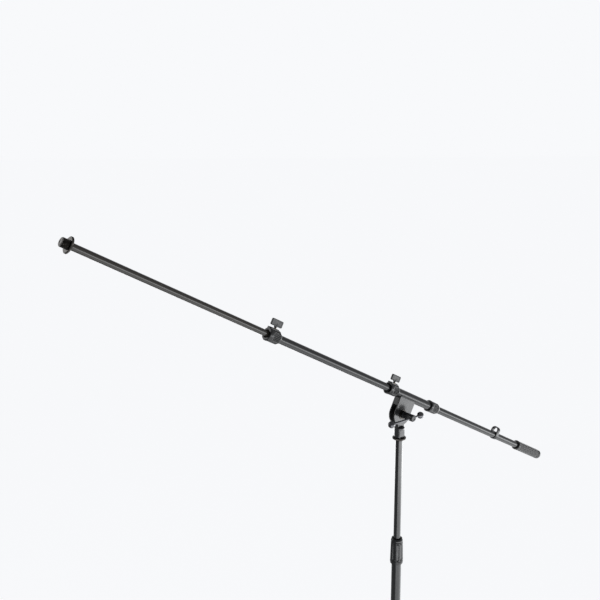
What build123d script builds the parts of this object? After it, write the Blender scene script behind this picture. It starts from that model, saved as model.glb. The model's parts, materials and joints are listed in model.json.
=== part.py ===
from build123d import *
from math import atan2, cos, hypot, radians, sin
import os

# Boom microphone stand, millimetres, +Z up.
# The origin is on the floor, on the axis of the upright tubes.
# The boom lies in the XZ plane: its threaded tip points to -X and up, its rear grip to +X and down.
# -Y is the side of the tilt handle.

os.makedirs("parts", exist_ok=True)

# ------------------------------------------------------------------ driving dimensions

RUNNING = 0.06            # radial clearance of a fit that turns or slides
CLEAR = 0.3               # gap between pieces that move past each other
WALL = 1.2                # steel tube wall

# Tilt pivot and boom axis
PIVOT_HEIGHT = 1089.0
BOOM_RISE = 40.0          # boom axis above the pivot, square to the boom
BOOM_ANGLE = 28.75        # boom above the horizontal

# Tubes (outer diameters)
LOWER_TUBE = 22.0
UPPER_SHAFT = 16.0
BOOM_TUBE = 16.0
TIP_TUBE = 12.0
SLEEVE = 19.0

# Stations along the boom from the point above the pivot, towards the rear grip
TIP_THREAD_END = -843.5
TIP_FLANGE_FRONT = -832.0
TIP_FLANGE = 3.8
TIP_TUBE_REAR = -300.0
BOOM_CLAMP_FRONT = -421.5
CLAMP_LENGTH = 30.0
BOOM_TUBE_FRONT = -413.5
SLEEVE_CLAMP_FRONT = -66.0
SLEEVE_FRONT = -58.0
SLEEVE_REAR = 98.0
REAR_COLLAR_FRONT = 79.0
REAR_COLLAR_LENGTH = 32.0
CLIP_FRONT = 351.0
CLIP_LENGTH = 11.0
GRIP_FRONT = 460.0
GRIP_LENGTH = 111.0

# Heights of the upright
LOWER_TUBE_FOOT = 84.0
LOWER_TUBE_TOP = 754.0
CLUTCH_FOOT = 733.0
CLUTCH_TOP = 793.0
SHAFT_FOOT = 440.0
SOCKET_FOOT = 1031.0
SHAFT_TOP = 1050.0

# Clamps and their thumb knobs
CLAMP_RADIUS = 12.3
CLAMP_RIM_RADIUS = 12.9
BOSS_HEIGHT = 14.8        # boss top above the boom axis
BOSS_HALF_WIDTH = 5.6
BOSS_FOOT = 10.5
KNOB_SCREW_RADIUS = 2.4
KNOB_OFFSET = 13.5        # knob axis behind the clamp's front face
PADDLE_LENGTH = 26.5
PADDLE_HEIGHT = 13.0
PADDLE_THICKNESS = 5.0
PADDLE_FOOT = 18.8        # underside of the paddle above the boom axis
GROOVE_START = 8.0        # grooves in a clamp, behind its front face
GROOVE_LENGTH = 18.0

# Tilt joint
PLATE_OUTER = 8.5         # outer faces of the bracket plates, each side of the middle
PLATE_THICKNESS = 2.5
PLATE_RADIUS = 25.0
TONGUE_HALF = 4.5
WASHER_THICKNESS = 1.2
PIVOT_SCREW_RADIUS = 4.0
SOCKET_RADIUS = 11.4
LOCK_RING_RADIUS = 14.8
LOCK_RING_HEIGHT = 4.0

# Tilt handle
HUB_RADIUS = 7.4
HUB_NEAR_END = 42.0       # outer end of the hub from the middle plane
BAR_OFFSET = 36.0
BAR_RADIUS = 2.25
BALL_RADIUS = 7.5
BAR_LONG_ARM = 61.0       # ball centre to hub axis, towards -X
BAR_SHORT_ARM = 26.0

# Tripod
HUB_FOOT = 72.0
HUB_TOP = 118.0
BASE_HUB_RADIUS = 17.0
LEG_HINGE_HEIGHT = 95.0
LEG_HINGE_RADIUS = 27.0
LEG_TUBE = 16.0
FOOT_REACH = 310.0        # centre of each foot from the upright's axis
FOOT_RADIUS = 10.5
FOOT_CENTRE_HEIGHT = 9.6
LEG_TUBE_START = 14.0
CHEEK_INNER = 6.2
CHEEK_OUTER = 10.0
HINGE_PIN_RADIUS = 3.0
STRUT_ON_LEG = 135.0      # strut rivet from the leg hinge, along the leg
COLLAR_PIN_HEIGHT = 205.0
COLLAR_PIN_RADIUS = 24.0
COLLAR_BELOW = 16.0
COLLAR_ABOVE = 24.0
STRUT_INNER = 8.4
STRUT_THICKNESS = 2.0
STRUT_WIDTH = 12.0
STRUT_PIN_RADIUS = 2.5
COLLAR_KNOB_RISE = 9.0    # collar knob above the strut pins
LEGS = {"a": 180.0, "b": 60.0, "c": -60.0}

# ------------------------------------------------------------------ planes and axes

BOOM_DIR = Vector(cos(radians(BOOM_ANGLE)), 0, -sin(radians(BOOM_ANGLE)))
BOOM_UP = Vector(sin(radians(BOOM_ANGLE)), 0, cos(radians(BOOM_ANGLE)))
PIVOT = Vector(0, 0, PIVOT_HEIGHT)
BOOM_CENTRE = PIVOT + BOOM_UP * BOOM_RISE
BOOM_AXIS = Axis(BOOM_CENTRE, BOOM_DIR)
NEAR = Vector(0, -1, 0)


def across_boom(station):
    """Plane square to the boom: x up, z towards the rear."""
    return Plane(origin=BOOM_CENTRE + BOOM_DIR * station, x_dir=BOOM_UP, z_dir=BOOM_DIR)


def beside_boom(offset=0.0):
    """Plane along the boom, seen from the near side: x along the boom, y up from its axis."""
    return Plane(origin=BOOM_CENTRE + NEAR * offset, x_dir=BOOM_DIR, z_dir=NEAR)


def beside_pivot(offset=0.0):
    """Plane square to the tilt axis: x along the boom, y up, centred on the pivot."""
    return Plane(origin=PIVOT + NEAR * offset, x_dir=BOOM_DIR, z_dir=NEAR)


def above_boom(station, height):
    """Plane square to a knob's axis: x along the boom, z up from the boom."""
    origin = BOOM_CENTRE + BOOM_DIR * station + BOOM_UP * height
    return Plane(origin=origin, x_dir=BOOM_DIR, z_dir=BOOM_UP)


def level(height):
    return Plane.XY.offset(height)


LEG_DROP = LEG_HINGE_HEIGHT - FOOT_CENTRE_HEIGHT
LEG_RUN = FOOT_REACH - LEG_HINGE_RADIUS
LEG_LENGTH = hypot(LEG_RUN, LEG_DROP)
LEG_SLOPE = atan2(LEG_DROP, LEG_RUN)


def outward(angle):
    return Vector(cos(radians(angle)), sin(radians(angle)), 0)


def sideways(angle):
    return Vector(sin(radians(angle)), -cos(radians(angle)), 0)


def leg_direction(angle):
    return outward(angle) * cos(LEG_SLOPE) - Vector(0, 0, sin(LEG_SLOPE))


def leg_hinge(angle):
    return outward(angle) * LEG_HINGE_RADIUS + Vector(0, 0, LEG_HINGE_HEIGHT)


def across_leg(angle, distance):
    """Plane square to a leg, at a distance from its hinge."""
    direction = leg_direction(angle)
    return Plane(origin=leg_hinge(angle) + direction * distance, x_dir=sideways(angle), z_dir=direction)


def beside_leg(angle, offset=0.0):
    """Plane along a leg and square to its hinge pin: x down the leg."""
    origin = leg_hinge(angle) + sideways(angle) * offset
    return Plane(origin=origin, x_dir=leg_direction(angle), z_dir=sideways(angle))


def collar_pin(angle):
    return outward(angle) * COLLAR_PIN_RADIUS + Vector(0, 0, COLLAR_PIN_HEIGHT)


def beside_strut(angle, offset=0.0):
    """Plane along a strut: x from the collar pin towards the rivet on the leg."""
    rivet = leg_hinge(angle) + leg_direction(angle) * STRUT_ON_LEG
    direction = (rivet - collar_pin(angle)).normalized()
    return Plane(origin=collar_pin(angle) + sideways(angle) * offset, x_dir=direction, z_dir=sideways(angle))


def upright_face(angle, offset=0.0):
    """Vertical plane through the upright's axis: x outward, y up."""
    return Plane(origin=sideways(angle) * offset, x_dir=outward(angle), z_dir=sideways(angle))


STRUT_LENGTH = (leg_hinge(0) + leg_direction(0) * STRUT_ON_LEG - collar_pin(0)).length

# ------------------------------------------------------------------ shared shapes


def tube(plane, length, outer, inner, mode=Mode.ADD):
    """Straight tube from outer and inner diameters, along the plane's normal."""
    with BuildSketch(plane) as ring:
        Circle(outer / 2)
        if inner > 0:
            Circle(inner / 2, mode=Mode.SUBTRACT)
    extrude(ring.sketch, amount=length, mode=mode)


def turned(plane, points, axis, mode=Mode.ADD):
    """Lathe-turned shape from a closed outline beside its axis."""
    with BuildSketch(plane) as section:
        with BuildLine():
            Polyline(*points, close=True)
        make_face()
    revolve(section.sketch, axis=axis, mode=mode)


def turned_on_boom(points, mode=Mode.ADD):
    turned(beside_boom(), points, BOOM_AXIS, mode)


def turned_on_upright(points, mode=Mode.ADD):
    turned(Plane.XZ, points, Axis.Z, mode)


def turned_on_pivot(points, mode=Mode.ADD):
    """Outline of distances towards -Y and radii about the tilt axis."""
    turned(Plane(origin=PIVOT, x_dir=NEAR, z_dir=(-1, 0, 0)), points, Axis(PIVOT, NEAR), mode)


def boss_with_ramp(front, rear):
    """Screw boss on top of a clamp, level from the rim to behind the knob, then sloping down."""
    with BuildSketch(beside_boom(-BOSS_HALF_WIDTH)) as side:
        with BuildLine():
            Polyline(
                (front, BOSS_FOOT), (front, BOSS_HEIGHT), (front + KNOB_OFFSET + 6.0, BOSS_HEIGHT),
                (rear - 3.0, 11.6), (rear - 3.0, BOSS_FOOT), close=True,
            )
        make_face()
    extrude(side.sketch, amount=2 * BOSS_HALF_WIDTH)


def lengthwise_grooves(front, length, radius, count, start, sweep):
    """Shallow grooves along the boom, leaving ribs between them."""
    with BuildSketch(across_boom(front)) as slots:
        with PolarLocations(radius, count, start_angle=start, angular_range=sweep, endpoint=True):
            Rectangle(1.6, 1.3)
    extrude(slots.sketch, amount=length, mode=Mode.SUBTRACT)


def knob_screw(station, tip_height):
    """Thumb-screw shank from just above the tube to inside the paddle."""
    with BuildSketch(above_boom(station, tip_height)) as shank:
        Circle(KNOB_SCREW_RADIUS)
    extrude(shank.sketch, amount=PADDLE_FOOT + 6.0 - tip_height)


def knob_paddle(station):
    """Flat paddle with rounded corners, standing along the boom, with a hole for its shank."""
    with BuildSketch(beside_boom(-PADDLE_THICKNESS / 2)) as face:
        with Locations((station, PADDLE_FOOT + PADDLE_HEIGHT / 2)):
            RectangleRounded(PADDLE_LENGTH, PADDLE_HEIGHT, 3.0)
    paddle = extrude(face.sketch, amount=PADDLE_THICKNESS)
    fillet(paddle.faces().filter_by(Axis.Y).edges(), 0.8)
    with BuildSketch(above_boom(station, PADDLE_FOOT - 1.0)) as shank_hole:
        Circle(KNOB_SCREW_RADIUS)
    extrude(shank_hole.sketch, amount=7.0, mode=Mode.SUBTRACT)


def knob_nut(station, foot):
    """Round threaded insert pressed into a clamp's boss."""
    tube(above_boom(station, foot), BOSS_HEIGHT - foot, 8.0, 2 * (KNOB_SCREW_RADIUS + RUNNING))


def nut_pocket(station, foot):
    """Pocket for the insert, and the screw's way down to the tube."""
    tube(above_boom(station, foot), BOSS_HEIGHT - foot + 1.0, 8.0, 0, Mode.SUBTRACT)
    tube(above_boom(station, 4.0), BOSS_HEIGHT, 2 * (KNOB_SCREW_RADIUS + CLEAR), 0, Mode.SUBTRACT)


# ------------------------------------------------------------------ upright

with BuildPart() as lower_tube:
    tube(level(LOWER_TUBE_FOOT), LOWER_TUBE_TOP - LOWER_TUBE_FOOT, LOWER_TUBE, LOWER_TUBE - 2 * WALL)
lower_tube.part.label = "lower_tube"
export_step(lower_tube.part, "parts/lower_tube.step")

NOSE_RADIUS = 12.0
SKIRT_RADIUS = 12.6
COLLET_RADIUS = 9.6
NOSE_TOP = LOWER_TUBE_TOP + 24.0
COLLET_TOP = NOSE_TOP + 8.0

# Threaded collar fixed on the top of the lower tube
with BuildPart() as clutch_body:
    turned_on_upright([
        (LOWER_TUBE / 2, CLUTCH_FOOT), (14.2, CLUTCH_FOOT), (14.2, CLUTCH_FOOT + 2.5),
        (SKIRT_RADIUS, CLUTCH_FOOT + 2.5), (SKIRT_RADIUS, LOWER_TUBE_TOP), (NOSE_RADIUS, LOWER_TUBE_TOP),
        (NOSE_RADIUS, NOSE_TOP), (COLLET_RADIUS, NOSE_TOP), (COLLET_RADIUS, LOWER_TUBE_TOP),
        (LOWER_TUBE / 2, LOWER_TUBE_TOP),
    ])
clutch_body.part.label = "clutch_body"
export_step(clutch_body.part, "parts/clutch_body.step")

# Split collet that grips the shaft
with BuildPart() as clutch_collet:
    turned_on_upright([
        (UPPER_SHAFT / 2 + RUNNING, LOWER_TUBE_TOP), (COLLET_RADIUS, LOWER_TUBE_TOP),
        (COLLET_RADIUS, COLLET_TOP - 3.0), (COLLET_RADIUS - 0.9, COLLET_TOP),
        (UPPER_SHAFT / 2 + RUNNING, COLLET_TOP),
    ])
    with BuildSketch(level(LOWER_TUBE_TOP + 6.0)):
        with PolarLocations(9.0, 3, start_angle=30.0):
            Rectangle(4.0, 1.4)
    extrude(amount=40.0, mode=Mode.SUBTRACT)
clutch_collet.part.label = "clutch_collet"
export_step(clutch_collet.part, "parts/clutch_collet.step")

# Outer sleeve that is twisted to close the collet
GRIP_FOOT = CLUTCH_FOOT + 2.5 + CLEAR
FLUTE_COUNT = 10
with BuildPart() as clutch_grip:
    turned_on_upright([
        (SKIRT_RADIUS + CLEAR, GRIP_FOOT), (14.4, GRIP_FOOT), (14.5, GRIP_FOOT + 3.0),
        (13.5, CLUTCH_TOP - 5.0), (12.0, CLUTCH_TOP), (10.8, CLUTCH_TOP), (8.7, CLUTCH_TOP - 4.5),
        (8.7, COLLET_TOP + CLEAR), (COLLET_RADIUS + CLEAR, COLLET_TOP + CLEAR),
        (COLLET_RADIUS + CLEAR, NOSE_TOP + CLEAR), (NOSE_RADIUS + CLEAR, NOSE_TOP + CLEAR),
        (NOSE_RADIUS + CLEAR, LOWER_TUBE_TOP + CLEAR), (SKIRT_RADIUS + CLEAR, LOWER_TUBE_TOP + CLEAR),
    ])
    with BuildSketch(level(GRIP_FOOT + 6.0)):
        with PolarLocations(15.6, FLUTE_COUNT):
            Circle(2.3)
    extrude(amount=40.0, mode=Mode.SUBTRACT)
clutch_grip.part.label = "clutch_grip"
export_step(clutch_grip.part, "parts/clutch_grip.step")

# Inner shaft that telescopes in the lower tube
SHAFT_BORE = UPPER_SHAFT - 2 * WALL
with BuildPart() as upper_shaft:
    tube(level(SHAFT_FOOT), SHAFT_TOP - SHAFT_FOOT, UPPER_SHAFT, SHAFT_BORE)
upper_shaft.part.label = "upper_shaft"
export_step(upper_shaft.part, "parts/upper_shaft.step")

# Guide plug on which the shaft turns inside the lower tube
with BuildPart() as shaft_guide:
    tube(level(SHAFT_FOOT - 24.0), 24.0 - CLEAR, LOWER_TUBE - 2 * WALL - 2 * RUNNING, 0)
    tube(level(SHAFT_FOOT - CLEAR), 16.0, SHAFT_BORE - 2 * RUNNING, 0)
shaft_guide.part.label = "shaft_guide"
export_step(shaft_guide.part, "parts/shaft_guide.step")

# ------------------------------------------------------------------ tilt joint

SOCKET_TOP = PIVOT_HEIGHT - PLATE_RADIUS - 4.0
with BuildPart() as tilt_knuckle:
    turned_on_upright([
        (UPPER_SHAFT / 2, SOCKET_FOOT + LOCK_RING_HEIGHT), (SOCKET_RADIUS, SOCKET_FOOT + LOCK_RING_HEIGHT),
        (SOCKET_RADIUS, SOCKET_TOP - 2.0), (SOCKET_RADIUS - 2.0, SOCKET_TOP), (0, SOCKET_TOP),
        (0, SHAFT_TOP), (UPPER_SHAFT / 2, SHAFT_TOP),
    ])
    with BuildSketch(Plane.XZ.offset(-TONGUE_HALF)):
        with Locations((0, PIVOT_HEIGHT)):
            Circle(11.0)
        with Locations((0, (SOCKET_TOP - 3.0 + PIVOT_HEIGHT) / 2)):
            Rectangle(18.0, PIVOT_HEIGHT - SOCKET_TOP + 3.0)
        with Locations((0, PIVOT_HEIGHT)):
            Circle(PIVOT_SCREW_RADIUS + RUNNING, mode=Mode.SUBTRACT)
    extrude(amount=2 * TONGUE_HALF)
tilt_knuckle.part.label = "tilt_knuckle"
export_step(tilt_knuckle.part, "parts/tilt_knuckle.step")

with BuildPart() as lock_ring:
    turned_on_upright([
        (UPPER_SHAFT / 2, SOCKET_FOOT), (LOCK_RING_RADIUS - 0.6, SOCKET_FOOT),
        (LOCK_RING_RADIUS, SOCKET_FOOT + 0.6), (LOCK_RING_RADIUS, SOCKET_FOOT + LOCK_RING_HEIGHT - 0.6),
        (LOCK_RING_RADIUS - 0.6, SOCKET_FOOT + LOCK_RING_HEIGHT),
        (UPPER_SHAFT / 2, SOCKET_FOOT + LOCK_RING_HEIGHT),
    ])
lock_ring.part.label = "lock_ring"
export_step(lock_ring.part, "parts/lock_ring.step")

# One friction washer on each face of the tongue
with BuildPart() as friction_washers:
    tube(beside_pivot(TONGUE_HALF), WASHER_THICKNESS, 20.0, 2 * (PIVOT_SCREW_RADIUS + CLEAR))
    tube(beside_pivot(-TONGUE_HALF - WASHER_THICKNESS), WASHER_THICKNESS, 20.0, 2 * (PIVOT_SCREW_RADIUS + CLEAR))
friction_washers.part.label = "friction_washers"
export_step(friction_washers.part, "parts/friction_washers.step")


def plate_outline():
    """Bracket plate: straight sides under the sleeve and a round end about the pivot."""
    Circle(PLATE_RADIUS)
    with Locations((0, BOOM_RISE / 2)):
        Rectangle(2 * PLATE_RADIUS, BOOM_RISE)
    Circle(PIVOT_SCREW_RADIUS + RUNNING, mode=Mode.SUBTRACT)


PLATE_INNER = PLATE_OUTER - PLATE_THICKNESS
for name, face in (("near", PLATE_INNER), ("far", -PLATE_OUTER)):
    with BuildPart() as bracket_plate:
        with BuildSketch(beside_pivot(face)):
            plate_outline()
        extrude(amount=PLATE_THICKNESS)
        tube(across_boom(-PLATE_RADIUS - 5), 2 * PLATE_RADIUS + 10, SLEEVE, 0, Mode.SUBTRACT)
        with BuildSketch(beside_boom(-PLATE_OUTER - 1)):
            with Locations((0, 10.0)):
                Rectangle(2 * PLATE_RADIUS + 10, 30.0)
        extrude(amount=2 * PLATE_OUTER + 2, mode=Mode.SUBTRACT)
    bracket_plate.part.label = f"bracket_plate_{name}"
    export_step(bracket_plate.part, f"parts/bracket_plate_{name}.step")

# Spacer strap that joins the plates in front of the tongue, under the sleeve
with BuildPart() as bracket_web:
    with BuildSketch(beside_pivot(-PLATE_INNER)):
        with Locations((-PLATE_RADIUS + 1.5, 22.0)):
            Rectangle(3.0, 16.0)
    extrude(amount=2 * PLATE_INNER)
bracket_web.part.label = "bracket_web"
export_step(bracket_web.part, "parts/bracket_web.step")

# Washers under the tilt handle and a hexagon nut on the far side
with BuildPart() as pivot_washers:
    tube(beside_pivot(PLATE_OUTER), 1.3, 21.0, 2 * (PIVOT_SCREW_RADIUS + RUNNING))
    tube(beside_pivot(PLATE_OUTER + 1.3), 1.2, 16.0, 2 * (PIVOT_SCREW_RADIUS + RUNNING))
    tube(beside_pivot(-PLATE_OUTER - 1.3), 1.3, 19.0, 2 * (PIVOT_SCREW_RADIUS + RUNNING))
pivot_washers.part.label = "pivot_washers"
export_step(pivot_washers.part, "parts/pivot_washers.step")

with BuildPart() as pivot_nut:
    with BuildSketch(beside_pivot(-PLATE_OUTER - 1.3 - 6.5)):
        RegularPolygon(6.5, 6, major_radius=False)
        Circle(PIVOT_SCREW_RADIUS + RUNNING, mode=Mode.SUBTRACT)
    extrude(amount=6.5)
    chamfer(pivot_nut.edges().group_by(Axis.Y)[-1].filter_by(GeomType.LINE), 0.7)
pivot_nut.part.label = "pivot_nut"
export_step(pivot_nut.part, "parts/pivot_nut.step")

# ------------------------------------------------------------------ tilt handle

HUB_START = PLATE_OUTER + 2.5 + CLEAR
SCREW_FAR_END = PLATE_OUTER + 1.3 + 6.5 + 1.5
with BuildPart() as handle_hub:
    turned_on_pivot([
        (HUB_START, PIVOT_SCREW_RADIUS), (HUB_START, HUB_RADIUS - 0.4), (HUB_START + 1.0, HUB_RADIUS),
        (HUB_NEAR_END - 10.0, HUB_RADIUS - 0.4), (HUB_NEAR_END - 1.0, HUB_RADIUS - 0.8),
        (HUB_NEAR_END, HUB_RADIUS - 1.6), (HUB_NEAR_END, 0), (HUB_START + 17.0, 0),
        (HUB_START + 17.0, PIVOT_SCREW_RADIUS),
    ])
    with BuildSketch(Plane(origin=PIVOT + NEAR * BAR_OFFSET - Vector(20, 0, 0), x_dir=(0, 1, 0), z_dir=(1, 0, 0))):
        Circle(BAR_RADIUS + RUNNING)
    extrude(amount=40.0, mode=Mode.SUBTRACT)
handle_hub.part.label = "handle_hub"
export_step(handle_hub.part, "parts/handle_hub.step")

with BuildPart() as pivot_screw:
    turned_on_pivot([
        (-SCREW_FAR_END, 0), (-SCREW_FAR_END, PIVOT_SCREW_RADIUS - 0.7),
        (-SCREW_FAR_END + 0.7, PIVOT_SCREW_RADIUS), (HUB_START + 17.0, PIVOT_SCREW_RADIUS),
        (HUB_START + 17.0, 0),
    ])
pivot_screw.part.label = "pivot_screw"
export_step(pivot_screw.part, "parts/pivot_screw.step")

BAR_ORIGIN = PIVOT + NEAR * BAR_OFFSET
with BuildPart() as handle_bar:
    with BuildSketch(Plane(origin=BAR_ORIGIN - Vector(BAR_LONG_ARM, 0, 0), x_dir=(0, 1, 0), z_dir=(1, 0, 0))):
        Circle(BAR_RADIUS)
    extrude(amount=BAR_LONG_ARM + BAR_SHORT_ARM)
handle_bar.part.label = "handle_bar"
export_step(handle_bar.part, "parts/handle_bar.step")

BALL_CENTRES = (
    BAR_ORIGIN - Vector(BAR_LONG_ARM, 0, 0),
    BAR_ORIGIN + Vector(BAR_SHORT_ARM, 0, 0),
)
with BuildPart() as handle_balls:
    for centre, reach in zip(BALL_CENTRES, (1, -1)):
        with Locations(centre):
            Sphere(BALL_RADIUS)
        tube(Plane(origin=centre, x_dir=(0, 1, 0), z_dir=(reach, 0, 0)), BALL_RADIUS + 2.0,
             2 * BAR_RADIUS, 0, Mode.SUBTRACT)
handle_balls.part.label = "handle_balls"
export_step(handle_balls.part, "parts/handle_balls.step")

# ------------------------------------------------------------------ boom sleeve and its clamp

SLEEVE_WALL = 1.1
SLEEVE_KNOB = SLEEVE_CLAMP_FRONT + KNOB_OFFSET
with BuildPart() as boom_sleeve:
    tube(across_boom(SLEEVE_FRONT), SLEEVE_REAR - SLEEVE_FRONT, SLEEVE, SLEEVE - 2 * SLEEVE_WALL)
    tube(above_boom(SLEEVE_KNOB, 4.0), 10.0, 2 * (KNOB_SCREW_RADIUS + CLEAR), 0, Mode.SUBTRACT)
boom_sleeve.part.label = "boom_sleeve"
export_step(boom_sleeve.part, "parts/boom_sleeve.step")


def clamp_outline(front, bush_radius, mouth_radius, tube_start, tube_radius):
    """Half section of a clamp: rim and mouth in front, a bush seat, then the bore over its tube."""
    rear = front + CLAMP_LENGTH
    return [
        (front, mouth_radius + 1.6), (front, CLAMP_RIM_RADIUS - 1.0), (front + 1.0, CLAMP_RIM_RADIUS),
        (front + 6.0, CLAMP_RIM_RADIUS), (front + 6.5, CLAMP_RADIUS), (rear - 3.0, CLAMP_RADIUS - 0.3),
        (rear, CLAMP_RADIUS - 1.8), (rear, tube_radius), (tube_start, tube_radius),
        (tube_start, bush_radius), (front + 3.5, bush_radius), (front + 3.5, mouth_radius),
        (front + 1.5, mouth_radius),
    ]


SLEEVE_BUSH_RADIUS = 10.2
with BuildPart() as sleeve_clamp:
    turned_on_boom(clamp_outline(
        SLEEVE_CLAMP_FRONT, SLEEVE_BUSH_RADIUS, BOOM_TUBE / 2 + CLEAR, SLEEVE_FRONT, SLEEVE / 2))
    boss_with_ramp(SLEEVE_CLAMP_FRONT, SLEEVE_CLAMP_FRONT + CLAMP_LENGTH)
    tube(across_boom(SLEEVE_FRONT), SLEEVE_REAR - SLEEVE_FRONT, SLEEVE, 0, Mode.SUBTRACT)
    nut_pocket(SLEEVE_KNOB, SLEEVE / 2 + 1.4)
    lengthwise_grooves(SLEEVE_CLAMP_FRONT + GROOVE_START, GROOVE_LENGTH, 12.7, 13, 60.0, 240.0)
sleeve_clamp.part.label = "sleeve_clamp"
export_step(sleeve_clamp.part, "parts/sleeve_clamp.step")

with BuildPart() as sleeve_clamp_nut:
    knob_nut(SLEEVE_KNOB, SLEEVE / 2 + 1.4)
sleeve_clamp_nut.part.label = "sleeve_clamp_nut"
export_step(sleeve_clamp_nut.part, "parts/sleeve_clamp_nut.step")

# Plastic bushes in the front clamp and the rear collar, on which the boom slides
REAR_COLLAR_REAR = REAR_COLLAR_FRONT + REAR_COLLAR_LENGTH
with BuildPart() as sleeve_bushes:
    tube(across_boom(SLEEVE_CLAMP_FRONT + 3.5), SLEEVE_FRONT - SLEEVE_CLAMP_FRONT - 3.5,
         2 * SLEEVE_BUSH_RADIUS, BOOM_TUBE + 2 * RUNNING)
    tube(across_boom(SLEEVE_REAR), REAR_COLLAR_REAR - 2.5 - SLEEVE_REAR,
         2 * SLEEVE_BUSH_RADIUS, BOOM_TUBE + 2 * RUNNING)
sleeve_bushes.part.label = "sleeve_bushes"
export_step(sleeve_bushes.part, "parts/sleeve_bushes.step")

with BuildPart() as rear_collar:
    turned_on_boom([
        (REAR_COLLAR_FRONT, SLEEVE / 2), (REAR_COLLAR_FRONT, 12.2), (REAR_COLLAR_FRONT + 0.8, 13.0),
        (REAR_COLLAR_FRONT + 4.5, 13.0), (REAR_COLLAR_FRONT + 5.0, 12.5), (REAR_COLLAR_REAR - 5.0, 12.3),
        (REAR_COLLAR_REAR, 10.6), (REAR_COLLAR_REAR, BOOM_TUBE / 2 + CLEAR),
        (REAR_COLLAR_REAR - 2.5, BOOM_TUBE / 2 + CLEAR), (REAR_COLLAR_REAR - 2.5, SLEEVE_BUSH_RADIUS),
        (SLEEVE_REAR, SLEEVE_BUSH_RADIUS), (SLEEVE_REAR, SLEEVE / 2),
    ])
    lengthwise_grooves(REAR_COLLAR_FRONT + 7.0, 18.0, 12.9, 18, 0.0, 340.0)
rear_collar.part.label = "rear_collar"
export_step(rear_collar.part, "parts/rear_collar.step")

with BuildPart() as sleeve_knob:
    knob_paddle(SLEEVE_KNOB)
sleeve_knob.part.label = "sleeve_knob"
export_step(sleeve_knob.part, "parts/sleeve_knob.step")

with BuildPart() as sleeve_knob_screw:
    knob_screw(SLEEVE_KNOB, BOOM_TUBE / 2 + CLEAR)
sleeve_knob_screw.part.label = "sleeve_knob_screw"
export_step(sleeve_knob_screw.part, "parts/sleeve_knob_screw.step")

# ------------------------------------------------------------------ outer boom tube

BOOM_KNOB = BOOM_CLAMP_FRONT + KNOB_OFFSET
GRIP_REAR = GRIP_FRONT + GRIP_LENGTH
BOOM_BORE = BOOM_TUBE - 2 * WALL
with BuildPart() as boom_tube:
    tube(across_boom(BOOM_TUBE_FRONT), GRIP_REAR - 3.0 - BOOM_TUBE_FRONT, BOOM_TUBE, BOOM_BORE)
    tube(above_boom(BOOM_KNOB, 4.0), 8.0, 2 * (KNOB_SCREW_RADIUS + CLEAR), 0, Mode.SUBTRACT)
boom_tube.part.label = "boom_tube"
export_step(boom_tube.part, "parts/boom_tube.step")

BOOM_BUSH_RADIUS = 8.6
with BuildPart() as boom_clamp:
    turned_on_boom(clamp_outline(
        BOOM_CLAMP_FRONT, BOOM_BUSH_RADIUS, TIP_TUBE / 2 + CLEAR, BOOM_TUBE_FRONT, BOOM_TUBE / 2))
    boss_with_ramp(BOOM_CLAMP_FRONT, BOOM_CLAMP_FRONT + CLAMP_LENGTH)
    tube(across_boom(BOOM_TUBE_FRONT), CLAMP_LENGTH, BOOM_TUBE, 0, Mode.SUBTRACT)
    nut_pocket(BOOM_KNOB, SLEEVE / 2)
    lengthwise_grooves(BOOM_CLAMP_FRONT + GROOVE_START, GROOVE_LENGTH, 12.7, 13, 60.0, 240.0)
boom_clamp.part.label = "boom_clamp"
export_step(boom_clamp.part, "parts/boom_clamp.step")

with BuildPart() as boom_clamp_nut:
    knob_nut(BOOM_KNOB, SLEEVE / 2)
boom_clamp_nut.part.label = "boom_clamp_nut"
export_step(boom_clamp_nut.part, "parts/boom_clamp_nut.step")

with BuildPart() as boom_clamp_bush:
    tube(across_boom(BOOM_CLAMP_FRONT + 3.5), BOOM_TUBE_FRONT - BOOM_CLAMP_FRONT - 3.5,
         2 * BOOM_BUSH_RADIUS, TIP_TUBE + 2 * RUNNING)
boom_clamp_bush.part.label = "boom_clamp_bush"
export_step(boom_clamp_bush.part, "parts/boom_clamp_bush.step")

with BuildPart() as boom_knob:
    knob_paddle(BOOM_KNOB)
boom_knob.part.label = "boom_knob"
export_step(boom_knob.part, "parts/boom_knob.step")

with BuildPart() as boom_knob_screw:
    knob_screw(BOOM_KNOB, TIP_TUBE / 2 + CLEAR)
boom_knob_screw.part.label = "boom_knob_screw"
export_step(boom_knob_screw.part, "parts/boom_knob_screw.step")

# Rubber grip over the rear end, which also balances the boom
GRIP_RADIUS = 11.25
with BuildPart() as boom_grip:
    turned_on_boom([
        (GRIP_FRONT, BOOM_TUBE / 2), (GRIP_FRONT, 11.2), (GRIP_FRONT + 0.8, 11.8), (GRIP_FRONT + 3.5, 11.8),
        (GRIP_FRONT + 4.2, GRIP_RADIUS), (GRIP_REAR - 3.0, GRIP_RADIUS), (GRIP_REAR - 0.9, GRIP_RADIUS - 0.9),
        (GRIP_REAR, GRIP_RADIUS - 3.0), (GRIP_REAR, 0), (GRIP_REAR - 3.0, 0), (GRIP_REAR - 3.0, BOOM_TUBE / 2),
    ])
boom_grip.part.label = "boom_grip"
export_step(boom_grip.part, "parts/boom_grip.step")

# Steel slug inside the tube under the grip
with BuildPart() as balance_weight:
    tube(across_boom(GRIP_FRONT + 6.0), GRIP_REAR - 3.0 - GRIP_FRONT - 6.0, BOOM_BORE, 0)
balance_weight.part.label = "balance_weight"
export_step(balance_weight.part, "parts/balance_weight.step")

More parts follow.
